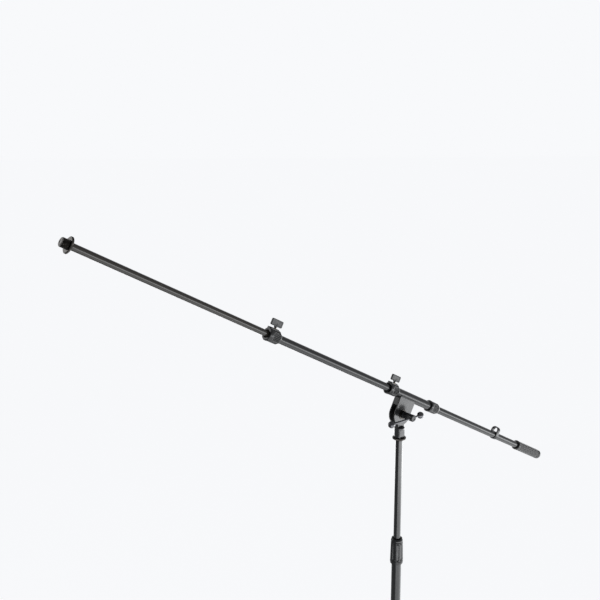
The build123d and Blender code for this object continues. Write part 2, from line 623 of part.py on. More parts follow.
# Cable clip: a ring on the tube with a closed loop above it
CLIP_RING = 9.6
CLIP_TOP = 22.0
CLIP_WALL = 2.2
ARCH_BASE = 12.0
LOOP_FOOT = CLIP_RING - 2.0
LOOP_HALF = CLIP_RING - CLIP_WALL
with BuildPart() as cable_clip:
    with BuildSketch(across_boom(CLIP_FRONT)):
        Circle(CLIP_RING)
        with BuildLine():
            Polyline((0, CLIP_RING), (ARCH_BASE, CLIP_RING))
            ThreePointArc((ARCH_BASE, CLIP_RING), (CLIP_TOP, 0), (ARCH_BASE, -CLIP_RING))
            Polyline((ARCH_BASE, -CLIP_RING), (0, -CLIP_RING), (0, CLIP_RING))
        make_face()
        with BuildLine(mode=Mode.PRIVATE) as opening:
            Polyline((LOOP_FOOT, LOOP_HALF), (ARCH_BASE, LOOP_HALF))
            ThreePointArc((ARCH_BASE, LOOP_HALF), (CLIP_TOP - CLIP_WALL, 0), (ARCH_BASE, -LOOP_HALF))
            Polyline((ARCH_BASE, -LOOP_HALF), (LOOP_FOOT, -LOOP_HALF), (LOOP_FOOT, LOOP_HALF))
        make_face(opening.edges(), mode=Mode.SUBTRACT)
        Circle(CLIP_RING)
        Circle(BOOM_TUBE / 2 + RUNNING, mode=Mode.SUBTRACT)
    extrude(amount=CLIP_LENGTH)
cable_clip.part.label = "cable_clip"
export_step(cable_clip.part, "parts/cable_clip.step")

# ------------------------------------------------------------------ telescoping tip

TIP_WALL = 1.0
TIP_TUBE_FRONT = TIP_FLANGE_FRONT + TIP_FLANGE
with BuildPart() as tip_tube:
    tube(across_boom(TIP_TUBE_FRONT), TIP_TUBE_REAR - TIP_TUBE_FRONT, TIP_TUBE, TIP_TUBE - 2 * TIP_WALL)
tip_tube.part.label = "tip_tube"
export_step(tip_tube.part, "parts/tip_tube.step")

# Plastic guide on the tip tube's inner end
with BuildPart() as tip_guide:
    tube(across_boom(TIP_TUBE_REAR), 8.0, BOOM_BORE - 2 * RUNNING, 0)
    tube(across_boom(TIP_TUBE_REAR - 14.0), 14.0, TIP_TUBE - 2 * TIP_WALL, 0)
tip_guide.part.label = "tip_guide"
export_step(tip_guide.part, "parts/tip_guide.step")

# Microphone thread, 5/8 inch, with its flange and the plug inside the tube
MIC_THREAD = 15.875
with BuildPart() as mic_thread:
    turned_on_boom([
        (TIP_THREAD_END, 0), (TIP_THREAD_END, MIC_THREAD / 2 - 0.8), (TIP_THREAD_END + 0.8, MIC_THREAD / 2),
        (TIP_FLANGE_FRONT, MIC_THREAD / 2), (TIP_FLANGE_FRONT, TIP_TUBE / 2 - TIP_WALL),
        (TIP_TUBE_FRONT + 16.0, TIP_TUBE / 2 - TIP_WALL), (TIP_TUBE_FRONT + 16.0, 0),
    ])
mic_thread.part.label = "mic_thread"
export_step(mic_thread.part, "parts/mic_thread.step")

FLANGE_RADIUS = 14.0
with BuildPart() as mic_flange:
    turned_on_boom([
        (TIP_FLANGE_FRONT, TIP_TUBE / 2 - TIP_WALL), (TIP_FLANGE_FRONT, FLANGE_RADIUS - 0.5),
        (TIP_FLANGE_FRONT + 0.5, FLANGE_RADIUS), (TIP_TUBE_FRONT - 0.5, FLANGE_RADIUS),
        (TIP_TUBE_FRONT, FLANGE_RADIUS - 0.5), (TIP_TUBE_FRONT, TIP_TUBE / 2 - TIP_WALL),
    ])
mic_flange.part.label = "mic_flange"
export_step(mic_flange.part, "parts/mic_flange.step")

# ------------------------------------------------------------------ tripod hub

with BuildPart() as base_hub:
    turned_on_upright([
        (LOWER_TUBE / 2, HUB_TOP), (13.6, HUB_TOP), (BASE_HUB_RADIUS, HUB_TOP - 8.0),
        (BASE_HUB_RADIUS, HUB_FOOT + 6.0), (13.5, HUB_FOOT), (9.0, HUB_FOOT),
        (9.0, LOWER_TUBE_FOOT), (LOWER_TUBE / 2, LOWER_TUBE_FOOT),
    ])
    for angle in LEGS.values():
        for side in (CHEEK_INNER, -CHEEK_OUTER):
            with BuildSketch(upright_face(angle, side)):
                with Locations((LEG_HINGE_RADIUS, LEG_HINGE_HEIGHT)):
                    Circle(9.0)
                with Locations(((LEG_HINGE_RADIUS + 11.0) / 2, LEG_HINGE_HEIGHT)):
                    Rectangle(LEG_HINGE_RADIUS - 11.0, 18.0)
                with Locations((LEG_HINGE_RADIUS, LEG_HINGE_HEIGHT)):
                    Circle(HINGE_PIN_RADIUS, mode=Mode.SUBTRACT)
            extrude(amount=CHEEK_OUTER - CHEEK_INNER)
    tube(level(LOWER_TUBE_FOOT), HUB_TOP, LOWER_TUBE, 0, Mode.SUBTRACT)
base_hub.part.label = "base_hub"
export_step(base_hub.part, "parts/base_hub.step")

with BuildPart() as hub_plug:
    turned_on_upright([
        (0, HUB_FOOT - 3.0), (10.5, HUB_FOOT - 3.0), (12.0, HUB_FOOT - 1.5), (12.0, HUB_FOOT),
        (9.0, HUB_FOOT), (9.0, HUB_FOOT + 10.0), (0, HUB_FOOT + 10.0),
    ])
hub_plug.part.label = "hub_plug"
export_step(hub_plug.part, "parts/hub_plug.step")

# Three rivets on which the legs turn
PIN_HEAD = 1.6
with BuildPart() as leg_pins:
    for angle in LEGS.values():
        hinge = leg_hinge(angle)
        start = Plane(origin=hinge - sideways(angle) * CHEEK_OUTER, x_dir=outward(angle), z_dir=sideways(angle))
        tube(start, 2 * CHEEK_OUTER, 2 * HINGE_PIN_RADIUS, 0)
        tube(start.offset(-PIN_HEAD), PIN_HEAD, 10.0, 0)
        tube(start.offset(2 * CHEEK_OUTER), PIN_HEAD, 10.0, 0)
leg_pins.part.label = "leg_pins"
export_step(leg_pins.part, "parts/leg_pins.step")

# ------------------------------------------------------------------ legs

TONGUE_HALF_WIDTH = CHEEK_INNER - CLEAR
LEG_BORE = LEG_TUBE - 2 * WALL
LEG_TUBE_END = LEG_LENGTH - 4.0
FOOT_START = LEG_LENGTH - 34.0
for name, angle in LEGS.items():
    with BuildPart() as leg_tube:
        tube(across_leg(angle, LEG_TUBE_START), LEG_TUBE_END - LEG_TUBE_START, LEG_TUBE, LEG_BORE)
    leg_tube.part.label = f"leg_tube_{name}"
    export_step(leg_tube.part, f"parts/leg_tube_{name}.step")

    with BuildPart() as leg_lug:
        with BuildSketch(beside_leg(angle, -TONGUE_HALF_WIDTH)):
            Circle(7.6)
            with Locations((LEG_TUBE_START / 2, 0)):
                Rectangle(LEG_TUBE_START, 13.0)
            Circle(HINGE_PIN_RADIUS + RUNNING, mode=Mode.SUBTRACT)
        extrude(amount=2 * TONGUE_HALF_WIDTH)
        tube(across_leg(angle, LEG_TUBE_START - 1.5), 1.5, LEG_TUBE - 0.6, 0)
        tube(across_leg(angle, LEG_TUBE_START), 26.0, LEG_BORE, 0)
    leg_lug.part.label = f"leg_lug_{name}"
    export_step(leg_lug.part, f"parts/leg_lug_{name}.step")

    with BuildPart() as foot:
        tube(across_leg(angle, FOOT_START), LEG_LENGTH - FOOT_START, 2 * FOOT_RADIUS, 0)
        with Locations(leg_hinge(angle) + leg_direction(angle) * LEG_LENGTH):
            Sphere(FOOT_RADIUS)
        chamfer(foot.edges().filter_by(GeomType.CIRCLE).group_by(Axis.Z)[-1], 1.0)
        tube(across_leg(angle, FOOT_START - 1.0), LEG_TUBE_END - FOOT_START + 1.0, LEG_TUBE, 0, Mode.SUBTRACT)
        split(bisect_by=Plane.XY, keep=Keep.TOP)
    foot.part.label = f"foot_{name}"
    export_step(foot.part, f"parts/foot_{name}.step")

# ------------------------------------------------------------------ sliding collar and struts

COLLAR_FOOT = COLLAR_PIN_HEIGHT - COLLAR_BELOW
COLLAR_TOP = COLLAR_PIN_HEIGHT + COLLAR_ABOVE
COLLAR_LUG = STRUT_INNER - CLEAR
COLLAR_KNOB_HEIGHT = COLLAR_PIN_HEIGHT + COLLAR_KNOB_RISE
COLLAR_SCREW = 3.0
COLLAR_BORE = LOWER_TUBE + 2 * RUNNING
KNOB_AXIS_PLANE = Plane(origin=(0, 0, COLLAR_KNOB_HEIGHT), x_dir=(0, 1, 0), z_dir=(1, 0, 0))
with BuildPart() as brace_collar:
    turned_on_upright([
        (COLLAR_BORE / 2, COLLAR_FOOT), (14.5, COLLAR_FOOT), (16.5, COLLAR_FOOT + 3.0),
        (16.5, COLLAR_TOP - 3.0), (14.5, COLLAR_TOP), (COLLAR_BORE / 2, COLLAR_TOP),
    ])
    for angle in LEGS.values():
        with BuildSketch(upright_face(angle, -COLLAR_LUG)):
            with Locations((COLLAR_PIN_RADIUS, COLLAR_PIN_HEIGHT)):
                Circle(6.5)
            with Locations(((COLLAR_PIN_RADIUS + 12.0) / 2, COLLAR_PIN_HEIGHT)):
                Rectangle(COLLAR_PIN_RADIUS - 12.0, 13.0)
            with Locations((COLLAR_PIN_RADIUS, COLLAR_PIN_HEIGHT)):
                Circle(STRUT_PIN_RADIUS, mode=Mode.SUBTRACT)
        extrude(amount=2 * COLLAR_LUG)
    tube(KNOB_AXIS_PLANE, 22.0, 13.0, 0)
    tube(KNOB_AXIS_PLANE, 30.0, 2 * (COLLAR_SCREW + RUNNING), 0, Mode.SUBTRACT)
    tube(level(COLLAR_FOOT), COLLAR_TOP - COLLAR_FOOT, COLLAR_BORE, 0, Mode.SUBTRACT)
brace_collar.part.label = "brace_collar"
export_step(brace_collar.part, "parts/brace_collar.step")

# Screw and star knob that lock the collar on the lower tube
KNOB_INNER_FACE = 24.0
KNOB_DEPTH = 14.0
with BuildPart() as collar_screw:
    tube(KNOB_AXIS_PLANE.offset(LOWER_TUBE / 2 + CLEAR), KNOB_INNER_FACE + 10.0 - LOWER_TUBE / 2 - CLEAR,
         2 * COLLAR_SCREW, 0)
collar_screw.part.label = "collar_screw"
export_step(collar_screw.part, "parts/collar_screw.step")

with BuildPart() as collar_knob:
    tube(KNOB_AXIS_PLANE.offset(KNOB_INNER_FACE), KNOB_DEPTH, 24.0, 0)
    chamfer(collar_knob.faces().sort_by(Axis.X)[-1].edges(), 1.5)
    with BuildSketch(KNOB_AXIS_PLANE.offset(KNOB_INNER_FACE - 1.0)):
        with PolarLocations(14.0, 5, start_angle=36.0):
            Circle(4.5)
    extrude(amount=KNOB_DEPTH + 2.0, mode=Mode.SUBTRACT)
    tube(KNOB_AXIS_PLANE.offset(KNOB_INNER_FACE - 1.0), 11.0, 2 * COLLAR_SCREW, 0, Mode.SUBTRACT)
collar_knob.part.label = "collar_knob"
export_step(collar_knob.part, "parts/collar_knob.step")

STRUT_OUTER = STRUT_INNER + STRUT_THICKNESS
with BuildPart() as collar_pins:
    for angle in LEGS.values():
        pin = collar_pin(angle)
        start = Plane(origin=pin - sideways(angle) * (STRUT_OUTER + CLEAR), x_dir=outward(angle),
                      z_dir=sideways(angle))
        tube(start, 2 * (STRUT_OUTER + CLEAR), 2 * STRUT_PIN_RADIUS, 0)
        tube(start.offset(-PIN_HEAD), PIN_HEAD, 8.0, 0)
        tube(start.offset(2 * (STRUT_OUTER + CLEAR)), PIN_HEAD, 8.0, 0)
collar_pins.part.label = "collar_pins"
export_step(collar_pins.part, "parts/collar_pins.step")

# Each strut is one pressing: two side strips joined by a bridge clear of the leg
BRIDGE_FROM = 70.0
BRIDGE_LENGTH = 60.0
for name, angle in LEGS.items():
    with BuildPart() as strut:
        for side in (STRUT_INNER, -STRUT_OUTER):
            with BuildSketch(beside_strut(angle, side)):
                with Locations((STRUT_LENGTH / 2, 0)):
                    SlotCenterToCenter(STRUT_LENGTH, STRUT_WIDTH)
                Circle(STRUT_PIN_RADIUS + RUNNING, mode=Mode.SUBTRACT)
                with Locations((STRUT_LENGTH, 0)):
                    Circle(2.0, mode=Mode.SUBTRACT)
            extrude(amount=STRUT_THICKNESS)
        with BuildSketch(beside_strut(angle, -STRUT_INNER)):
            with Locations((BRIDGE_FROM + BRIDGE_LENGTH / 2, -STRUT_WIDTH / 2 + STRUT_THICKNESS / 2)):
                Rectangle(BRIDGE_LENGTH, STRUT_THICKNESS)
        extrude(amount=2 * STRUT_INNER)
    strut.part.label = f"strut_{name}"
    export_step(strut.part, f"parts/strut_{name}.step")

# Rivet heads on the struts' leg ends, one each side
for name, angle in LEGS.items():
    with BuildPart() as strut_rivets:
        for side in (STRUT_OUTER, -STRUT_OUTER - PIN_HEAD):
            plane = beside_strut(angle, side)
            centre = plane.origin + plane.x_dir * STRUT_LENGTH
            tube(Plane(origin=centre, x_dir=plane.x_dir, z_dir=plane.z_dir), PIN_HEAD, 8.0, 0)
        for side in (STRUT_INNER, -STRUT_OUTER):
            plane = beside_strut(angle, side)
            centre = plane.origin + plane.x_dir * STRUT_LENGTH
            tube(Plane(origin=centre, x_dir=plane.x_dir, z_dir=plane.z_dir), STRUT_THICKNESS, 4.0, 0)
    strut_rivets.part.label = f"strut_rivets_{name}"
    export_step(strut_rivets.part, f"parts/strut_rivets_{name}.step")
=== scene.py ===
import json
import math
import bmesh
import bpy
from mathutils import Matrix, Vector


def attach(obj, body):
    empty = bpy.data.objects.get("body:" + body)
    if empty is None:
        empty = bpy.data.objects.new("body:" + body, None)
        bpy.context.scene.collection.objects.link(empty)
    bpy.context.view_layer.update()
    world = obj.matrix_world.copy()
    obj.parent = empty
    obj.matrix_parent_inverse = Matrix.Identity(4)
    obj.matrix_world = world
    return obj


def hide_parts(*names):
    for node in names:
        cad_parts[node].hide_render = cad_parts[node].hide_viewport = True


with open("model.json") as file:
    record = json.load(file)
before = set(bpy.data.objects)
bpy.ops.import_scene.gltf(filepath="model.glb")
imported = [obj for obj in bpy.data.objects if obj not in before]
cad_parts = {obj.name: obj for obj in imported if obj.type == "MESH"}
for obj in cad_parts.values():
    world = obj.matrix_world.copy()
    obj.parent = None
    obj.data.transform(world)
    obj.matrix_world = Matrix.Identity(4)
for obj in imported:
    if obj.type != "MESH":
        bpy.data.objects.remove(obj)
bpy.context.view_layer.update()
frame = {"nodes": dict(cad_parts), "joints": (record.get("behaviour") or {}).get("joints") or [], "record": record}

# Boom microphone stand, in metres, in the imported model's frame: the origin is on the floor on the
# upright's axis, +Z is up, and the boom lies in the XZ plane with its tip towards -X.

MM = 0.001
JOINTS = {joint["name"]: joint for joint in frame["joints"]}
SLOT_OF = {part["node"]: part["material_slot"] for part in frame["record"]["subparts"]}
BODY_OF = {node: body for body, nodes in frame["record"]["behaviour"]["bodies"].items() for node in nodes}

# ------------------------------------------------------------------ places on the object


class Place:
    """A frame on the object: an origin, an axis and an upward side, with heights read off CAD nodes."""

    def __init__(self, origin, axis, up):
        self.origin = Vector(origin)
        self.axis = Vector(axis).normalized()
        self.up = (Vector(up) - self.axis * Vector(up).dot(self.axis)).normalized()
        self.side = self.axis.cross(self.up)

    def point(self, up, side, along):
        """World position of a point given in this frame."""
        return self.origin + self.up * up + self.side * side + self.axis * along

    def at(self, along):
        """The same frame, moved along its axis."""
        return Place(self.point(0, 0, along), self.axis, self.up)

    def span(self, node, direction=None):
        """Lowest and highest place of a CAD node's points along the axis or another direction."""
        direction = direction or self.axis
        heights = [(v.co - self.origin).dot(direction) for v in frame["nodes"][node].data.vertices]
        return min(heights), max(heights)

    def radius(self, node):
        """Largest distance of a CAD node's points from the axis."""
        offsets = [v.co - self.origin for v in frame["nodes"][node].data.vertices]
        return max((offset - self.axis * offset.dot(self.axis)).length for offset in offsets)


NEAR = Vector((0, -1, 0))
PIVOT = Vector(JOINTS["boom_tilt"]["pos_m"])
BOOM_DIR = Vector(JOINTS["boom_slide"]["axis"])
BOOM_UP = Vector(JOINTS["sleeve_knob_turn"]["axis"])
BOOM_RISE = 40 * MM           # boom axis above the tilt pivot
BOOM = Place(PIVOT + BOOM_UP * BOOM_RISE, BOOM_DIR, BOOM_UP)
UPRIGHT = Place((0, 0, 0), (0, 0, 1), (1, 0, 0))
TILT = Place(PIVOT, NEAR, BOOM_UP)
TUBE_RADIUS = 8 * MM          # upper shaft and boom tube
TIP_TUBE_RADIUS = 6 * MM
ON_AXIS = 1e-9                # a radius below this is a point on the axis
ROWS_PER_PITCH = 8            # rings of points in one turn of a screw thread
STRAIGHT = 176                # degrees; flatter corners of an outline aren't rounded
SHARP_ANGLE = 35.0            # degrees; edges sharper than this keep a crease

# ------------------------------------------------------------------ mesh helpers


def piece_from(name, verts, faces, node, replaced=(), sharp=SHARP_ANGLE):
    """A smooth-shaded mesh piece that takes its body and slot from a CAD node."""
    mesh = bpy.data.meshes.new(name)
    mesh.from_pydata([tuple(v) for v in verts], [], faces)
    mesh.validate()
    mesh.shade_smooth()
    mesh.set_sharp_from_angle(angle=math.radians(sharp))
    piece = bpy.data.objects.new(name, mesh)
    bpy.context.scene.collection.objects.link(piece)
    mesh.materials.append(MATERIALS[SLOT_OF[node]])
    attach(piece, BODY_OF[node])
    if replaced:
        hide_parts(*replaced)
    return piece


def rounded(points, radius, steps=4):
    """The closed outline with each corner rounded, by less where its sides are short."""
    out = []
    count = len(points)
    for i, point in enumerate(points):
        here = Vector(point)
        before = Vector(points[i - 1]) - here
        after = Vector(points[(i + 1) % count]) - here
        turn = before.angle(after)
        straight = turn > math.radians(STRAIGHT)
        if abs(here.x) < ON_AXIS or straight:
            out.append(here)
            continue
        cut = min(radius / math.tan(turn / 2), 0.45 * before.length, 0.45 * after.length)
        start, end = here + before.normalized() * cut, here + after.normalized() * cut
        for k in range(steps + 1):
            f = k / steps
            out.append(start * (1 - f) ** 2 + here * 2 * f * (1 - f) + end * f ** 2)
    return out


def lathe(name, place, outline, node, replaced=(), segments=72, soften=0.4 * MM, ripple=None,
          sharp=SHARP_ANGLE):
    """Turned piece. The closed outline is (radius, along); ripple(angle, radius, along) changes a radius."""
    profile = rounded(outline, soften) if soften else [Vector(p) for p in outline]
    verts, rings = [], []
    for radius, along in profile:
        if radius < ON_AXIS:
            rings.append([len(verts)])
            verts.append(place.point(0, 0, along))
            continue
        row = []
        for s in range(segments):
            angle = 2 * math.pi * s / segments
            r = ripple(angle, radius, along) if ripple else radius
            row.append(len(verts))
            verts.append(place.point(r * math.cos(angle), r * math.sin(angle), along))
        rings.append(row)
    faces = []
    for a, b in zip(rings, rings[1:] + rings[:1]):
        if len(a) == 1 and len(b) == 1:
            continue
        for s in range(segments):
            t = (s + 1) % segments
            if len(a) == 1:
                faces.append((a[0], b[t], b[s]))
            elif len(b) == 1:
                faces.append((a[s], a[t], b[0]))
            else:
                faces.append((a[s], a[t], b[t], b[s]))
    return outward(piece_from(name, verts, faces, node, replaced, sharp))


def outward(piece, weld=0.0):
    """Joins points that lie together, and turns the faces outward."""
    work = bmesh.new()
    work.from_mesh(piece.data)
    if weld:
        bmesh.ops.remove_doubles(work, verts=work.verts, dist=weld)
    bmesh.ops.recalc_face_normals(work, faces=work.faces)
    work.to_mesh(piece.data)
    work.free()
    return piece


def prism(name, place, outline, thickness, node, replaced=(), bevel=0.5 * MM, dish=0.0, rim=2.2 * MM):
    """Plate with rounded edges. The outline is (up, along) in the place, its thickness along the side.

    dish sinks the middle of both faces by that much, inside a rim."""
    count = len(outline)
    centre = sum((Vector(p) for p in outline), Vector((0, 0))) / count

    def inset(amount):
        """The outline moved inward."""
        points = []
        for i, p in enumerate(outline):
            tangent = (Vector(outline[(i + 1) % count]) - Vector(outline[i - 1])).normalized()
            normal = Vector((tangent.y, -tangent.x))
            if normal.dot(Vector(p) - centre) < 0:
                normal = -normal
            points.append(Vector(p) - normal * amount)
        return points

    half = thickness / 2
    levels = []
    for k in range(4):
        angle = math.pi / 2 * k / 3
        levels.append((bevel * (1 - math.sin(angle)), half - bevel + bevel * math.cos(angle)))
    if dish:
        levels = [(rim + 0.6 * MM, half - dish), (rim, half - dish * 0.75), (rim - 0.5 * MM, half)] + levels
    loops = levels + [(amount, -depth) for amount, depth in reversed(levels)]
    verts = []
    for amount, depth in loops:
        verts += [place.point(p.x, depth, p.y) for p in inset(amount)]
    faces = []
    for row in range(len(loops) - 1):
        for i in range(count):
            j = (i + 1) % count
            faces.append((row * count + i, row * count + j, (row + 1) * count + j, (row + 1) * count + i))
    faces.append(tuple(range(count)))
    faces.append(tuple(range((len(loops) - 1) * count, len(loops) * count)))
    return outward(piece_from(name, verts, faces, node, replaced, 40.0))


def rounded_rectangle(low_up, high_up, low_along, high_along, radius, steps=6):
    """Outline (up, along) of a rectangle with rounded corners."""
    corners = [(low_up, low_along), (high_up, low_along), (high_up, high_along), (low_up, high_along)]
    return rounded([Vector(c) for c in corners], radius, steps)


def cut_plate(name, place, outlines, width, node, replaced=(), bevel=0.4 * MM):
    """Plate square to the axis, from an outline and the outlines of its holes, with rounded edges."""
    curve = bpy.data.curves.new(name, "CURVE")
    curve.dimensions = "2D"
    curve.fill_mode = "BOTH"
    curve.extrude = width / 2 - bevel
    curve.bevel_depth = bevel
    curve.bevel_resolution = 2
    curve.offset = -bevel
    for outline in outlines:
        spline = curve.splines.new("POLY")
        spline.points.add(len(outline) - 1)
        for point, (up, side) in zip(spline.points, outline):
            point.co = (up, side, 0, 1)
        spline.use_cyclic_u = True
    drawn = bpy.data.objects.new(name + "_outline", curve)
    bpy.context.scene.collection.objects.link(drawn)
    view = bpy.context.evaluated_depsgraph_get()
    mesh = bpy.data.meshes.new_from_object(drawn.evaluated_get(view))
    verts = [place.point(v.co.x, v.co.y, v.co.z + width / 2) for v in mesh.vertices]
    faces = [tuple(face.vertices) for face in mesh.polygons]
    bpy.data.objects.remove(drawn)
    bpy.data.curves.remove(curve)
    return outward(piece_from(name, verts, faces, node, replaced, 40.0), weld=0.002 * MM)


def threaded(name, place, length, radius, pitch, depth, node, replaced=(), per_turn=48, tip=0.8 * MM):
    """Screw thread: a helix cut into a rod from along = 0 to length, with a chamfered start."""
    row_count = int(length / pitch * ROWS_PER_PITCH) + 1
    verts = []
    for row in range(row_count + 1):
        along = length * row / row_count
        for s in range(per_turn):
            phase = (along / pitch - s / per_turn) % 1.0
            tooth = min(1.0, max(0.0, 2.2 * abs(phase - 0.5) - 0.05))
            r = radius - depth * tooth
            r = min(r, radius - max(0.0, tip - along))
            angle = 2 * math.pi * s / per_turn
            verts.append(place.point(r * math.cos(angle), r * math.sin(angle), along))
    faces = []
    for row in range(row_count):
        for s in range(per_turn):
            t = (s + 1) % per_turn
            faces.append((row * per_turn + s, row * per_turn + t, (row + 1) * per_turn + t,
                          (row + 1) * per_turn + s))
    faces.append(tuple(range(per_turn)))
    faces.append(tuple(range(row_count * per_turn, (row_count + 1) * per_turn)))
    return outward(piece_from(name, verts, faces, node, replaced, 50.0))


# ------------------------------------------------------------------ outlines and ripples


def rows(start, end, step, radius_at):
    """Outline points from one height to another, so that a ripple has something to bend."""
    count = max(1, round(abs(end - start) / step))
    places = [start + (end - start) * k / count for k in range(count + 1)]
    return [(radius_at(p), p) for p in places]


def ribs(count, depth, start, end, low, high, fade=1.2 * MM):
    """Ripple that cuts lengthwise grooves between two angles and two heights."""
    def ripple(angle, radius, along):
        if not start <= angle <= end or radius < 11 * MM:
            return radius
        reach = min(1.0, max(0.0, min(along - low, high - along) / fade))
        wave = 0.5 - 0.5 * math.cos(angle * count)
        return radius - depth * reach * min(1.0, 1.6 * wave)
    return ripple


def knurl(count, depth, above):
    """Ripple that notches a rim lengthwise wherever its radius is above a value."""
    def ripple(angle, radius, along):
        if radius < above:
            return radius
        return radius - depth * (0.5 - 0.5 * math.cos(angle * count))
    return ripple


def flutes(count, depth, width, low, high, end_length, above):
    """Ripple of round-ended scoops, with plain ribs between them."""
    def ripple(angle, radius, along):
        if radius < above or not low < along < high:
            return radius
        across = 2 * abs((angle * count / (2 * math.pi)) % 1.0 - 0.5) / width
        ending = max(0.0, 1 - min(along - low, high - along) / end_length)
        reach = 1 - across ** 2 - ending ** 2
        return radius - depth * math.sqrt(reach) if reach > 0 else radius
    return ripple


def flats(distance, low, high):
    """Ripple of two flats, on the -Y and +Y sides."""
    def ripple(angle, radius, along):
        across = abs(math.sin(angle))
        if radius < distance or across < 0.2 or not low <= along <= high:
            return radius
        return min(radius, distance / across)
    return ripple


def hexagon(flat):
    """Ripple that cuts six flats at a distance from the axis."""
    def ripple(angle, radius, along):
        turn = angle % (math.pi / 3) - math.pi / 6
        return min(radius, flat / math.cos(turn))
    return ripple


# ------------------------------------------------------------------ materials


class Shader:
    """A Principled material with helpers that add procedural detail."""

    def __init__(self, name, colour, roughness, metallic=0.0, coat=0.0, coat_roughness=0.1, specular=0.5):
        self.material = bpy.data.materials.new(name)
        self.material.use_nodes = True
        self.nodes = self.material.node_tree.nodes
        self.links = self.material.node_tree.links
        self.surface = self.nodes["Principled BSDF"]
        self.colour = tuple(colour) + (1.0,)
        self.surface.inputs["Base Color"].default_value = self.colour
        self.surface.inputs["Roughness"].default_value = roughness
        self.surface.inputs["Metallic"].default_value = metallic
        self.surface.inputs["Coat Weight"].default_value = coat
        self.surface.inputs["Coat Roughness"].default_value = coat_roughness
        self.surface.inputs["Specular IOR Level"].default_value = specular
        self.roughness = roughness
        self.place = self.nodes.new("ShaderNodeTexCoord").outputs["Object"]
        self.normal = None

    def stretch(self, scale):
        """Object coordinates scaled by a different amount along each axis."""
        mapping = self.nodes.new("ShaderNodeMapping")
        mapping.inputs["Scale"].default_value = scale
        self.links.new(self.place, mapping.inputs["Vector"])
        return mapping.outputs["Vector"]

    def noise(self, scale, detail=3.0, roughness=0.5, vector=None):
        """Cloudy noise from 0 to 1."""
        node = self.nodes.new("ShaderNodeTexNoise")
        node.inputs["Scale"].default_value = scale
        node.inputs["Detail"].default_value = detail
        node.inputs["Roughness"].default_value = roughness
        self.links.new(vector or self.place, node.inputs["Vector"])
        return node.outputs["Fac"]

    def cells(self, scale):
        """Distance to the nearest of scattered points, for grain and pits."""
        node = self.nodes.new("ShaderNodeTexVoronoi")
        node.inputs["Scale"].default_value = scale
        self.links.new(self.place, node.inputs["Vector"])
        return node.outputs["Distance"]

    def spread(self, value, low, high, from_low=0.3, from_high=0.7):
        """Maps the middle of a noise onto the range from low to high."""
        node = self.nodes.new("ShaderNodeMapRange")
        node.inputs["From Min"].default_value = from_low
        node.inputs["From Max"].default_value = from_high
        node.inputs["To Min"].default_value = low
        node.inputs["To Max"].default_value = high
        self.links.new(value, node.inputs["Value"])
        return node.outputs["Result"]

    def vary_roughness(self, value, amount):
        """Lets the roughness wander either side of its set value."""
        rough = self.spread(value, self.roughness - amount, self.roughness + amount)
        self.links.new(rough, self.surface.inputs["Roughness"])

    def tint(self, value, other, from_low=0.3, from_high=0.7):
        """Blends the base colour towards another where the value is high."""
        mix = self.nodes.new("ShaderNodeMix")
        mix.data_type = "RGBA"
        mix.inputs["A"].default_value = self.colour
        mix.inputs["B"].default_value = tuple(other) + (1.0,)
        source = self.surface.inputs["Base Color"]
        if source.is_linked:
            self.links.new(source.links[0].from_socket, mix.inputs["A"])
        self.links.new(self.spread(value, 0.0, 1.0, from_low, from_high), mix.inputs["Factor"])
        self.links.new(mix.outputs["Result"], source)

    def bump(self, value, height, strength=1.0):
        """Adds relief on top of any that is there."""
        node = self.nodes.new("ShaderNodeBump")
        node.inputs["Distance"].default_value = height
        node.inputs["Strength"].default_value = strength
        self.links.new(value, node.inputs["Height"])
        if self.normal:
            self.links.new(self.normal, node.inputs["Normal"])
        self.normal = node.outputs["Normal"]
        self.links.new(self.normal, self.surface.inputs["Normal"])


def coated_steel(name, colour, roughness, peel=0.005 * MM):
    """Black powder coat: orange peel, cloudy gloss, faint dust."""
    shader = Shader(name, colour, roughness, coat=0.2, coat_roughness=0.1)
    clouds = shader.noise(45, 4)
    shader.vary_roughness(clouds, 0.05)
    shader.tint(shader.noise(160, 5, 0.65), [c * 1.7 + 0.006 for c in colour], 0.5, 0.85)
    shader.bump(shader.noise(1100, 2), peel)
    shader.bump(shader.cells(420), peel * 0.8, 0.5)
    return shader.material


def moulded_plastic(name, colour, roughness, grain=0.008 * MM):
    """Fine spark-eroded grain, with slight flow marks and handling shine."""
    shader = Shader(name, colour, roughness, specular=0.45)
    shader.vary_roughness(shader.noise(90, 4), 0.08)
    shader.tint(shader.noise(60, 5, 0.6), [c * 1.5 + 0.008 for c in colour], 0.45, 0.8)
    shader.bump(shader.noise(2600, 3, 0.6), grain)
    shader.bump(shader.cells(1500), grain * 0.7, 0.6)
    return shader.material


def rubber(name, colour):
    """Smooth moulded rubber with scuffs and a fine grain."""
    shader = Shader(name, colour, 0.28, specular=0.5)
    shader.vary_roughness(shader.noise(70, 4), 0.08)
    shader.tint(shader.noise(140, 6, 0.7), [c + 0.03 for c in colour], 0.5, 0.8)
    shader.bump(shader.noise(1500, 4, 0.65), 0.015 * MM)
    return shader.material


def plated_steel(name, colour, roughness, stretch=(900, 900, 60)):
    """Bright or blackened steel with fine drawing lines and small stains."""
    shader = Shader(name, colour, roughness, metallic=1.0)
    lines = shader.noise(1.0, 3, 0.6, shader.stretch(stretch))
    shader.vary_roughness(lines, 0.09)
    shader.tint(shader.noise(120, 5, 0.7), [c * 0.72 for c in colour], 0.5, 0.8)
    shader.bump(lines, 0.01 * MM, 0.6)
    return shader.material


def black_chrome(name, colour):
    """Dark mirror plating with slight waviness."""
    shader = Shader(name, colour, 0.09, metallic=1.0, coat=0.6, coat_roughness=0.04)
    shader.vary_roughness(shader.noise(160, 5, 0.6), 0.04)
    shader.bump(shader.noise(300, 2), 0.01 * MM, 0.4)
    return shader.material


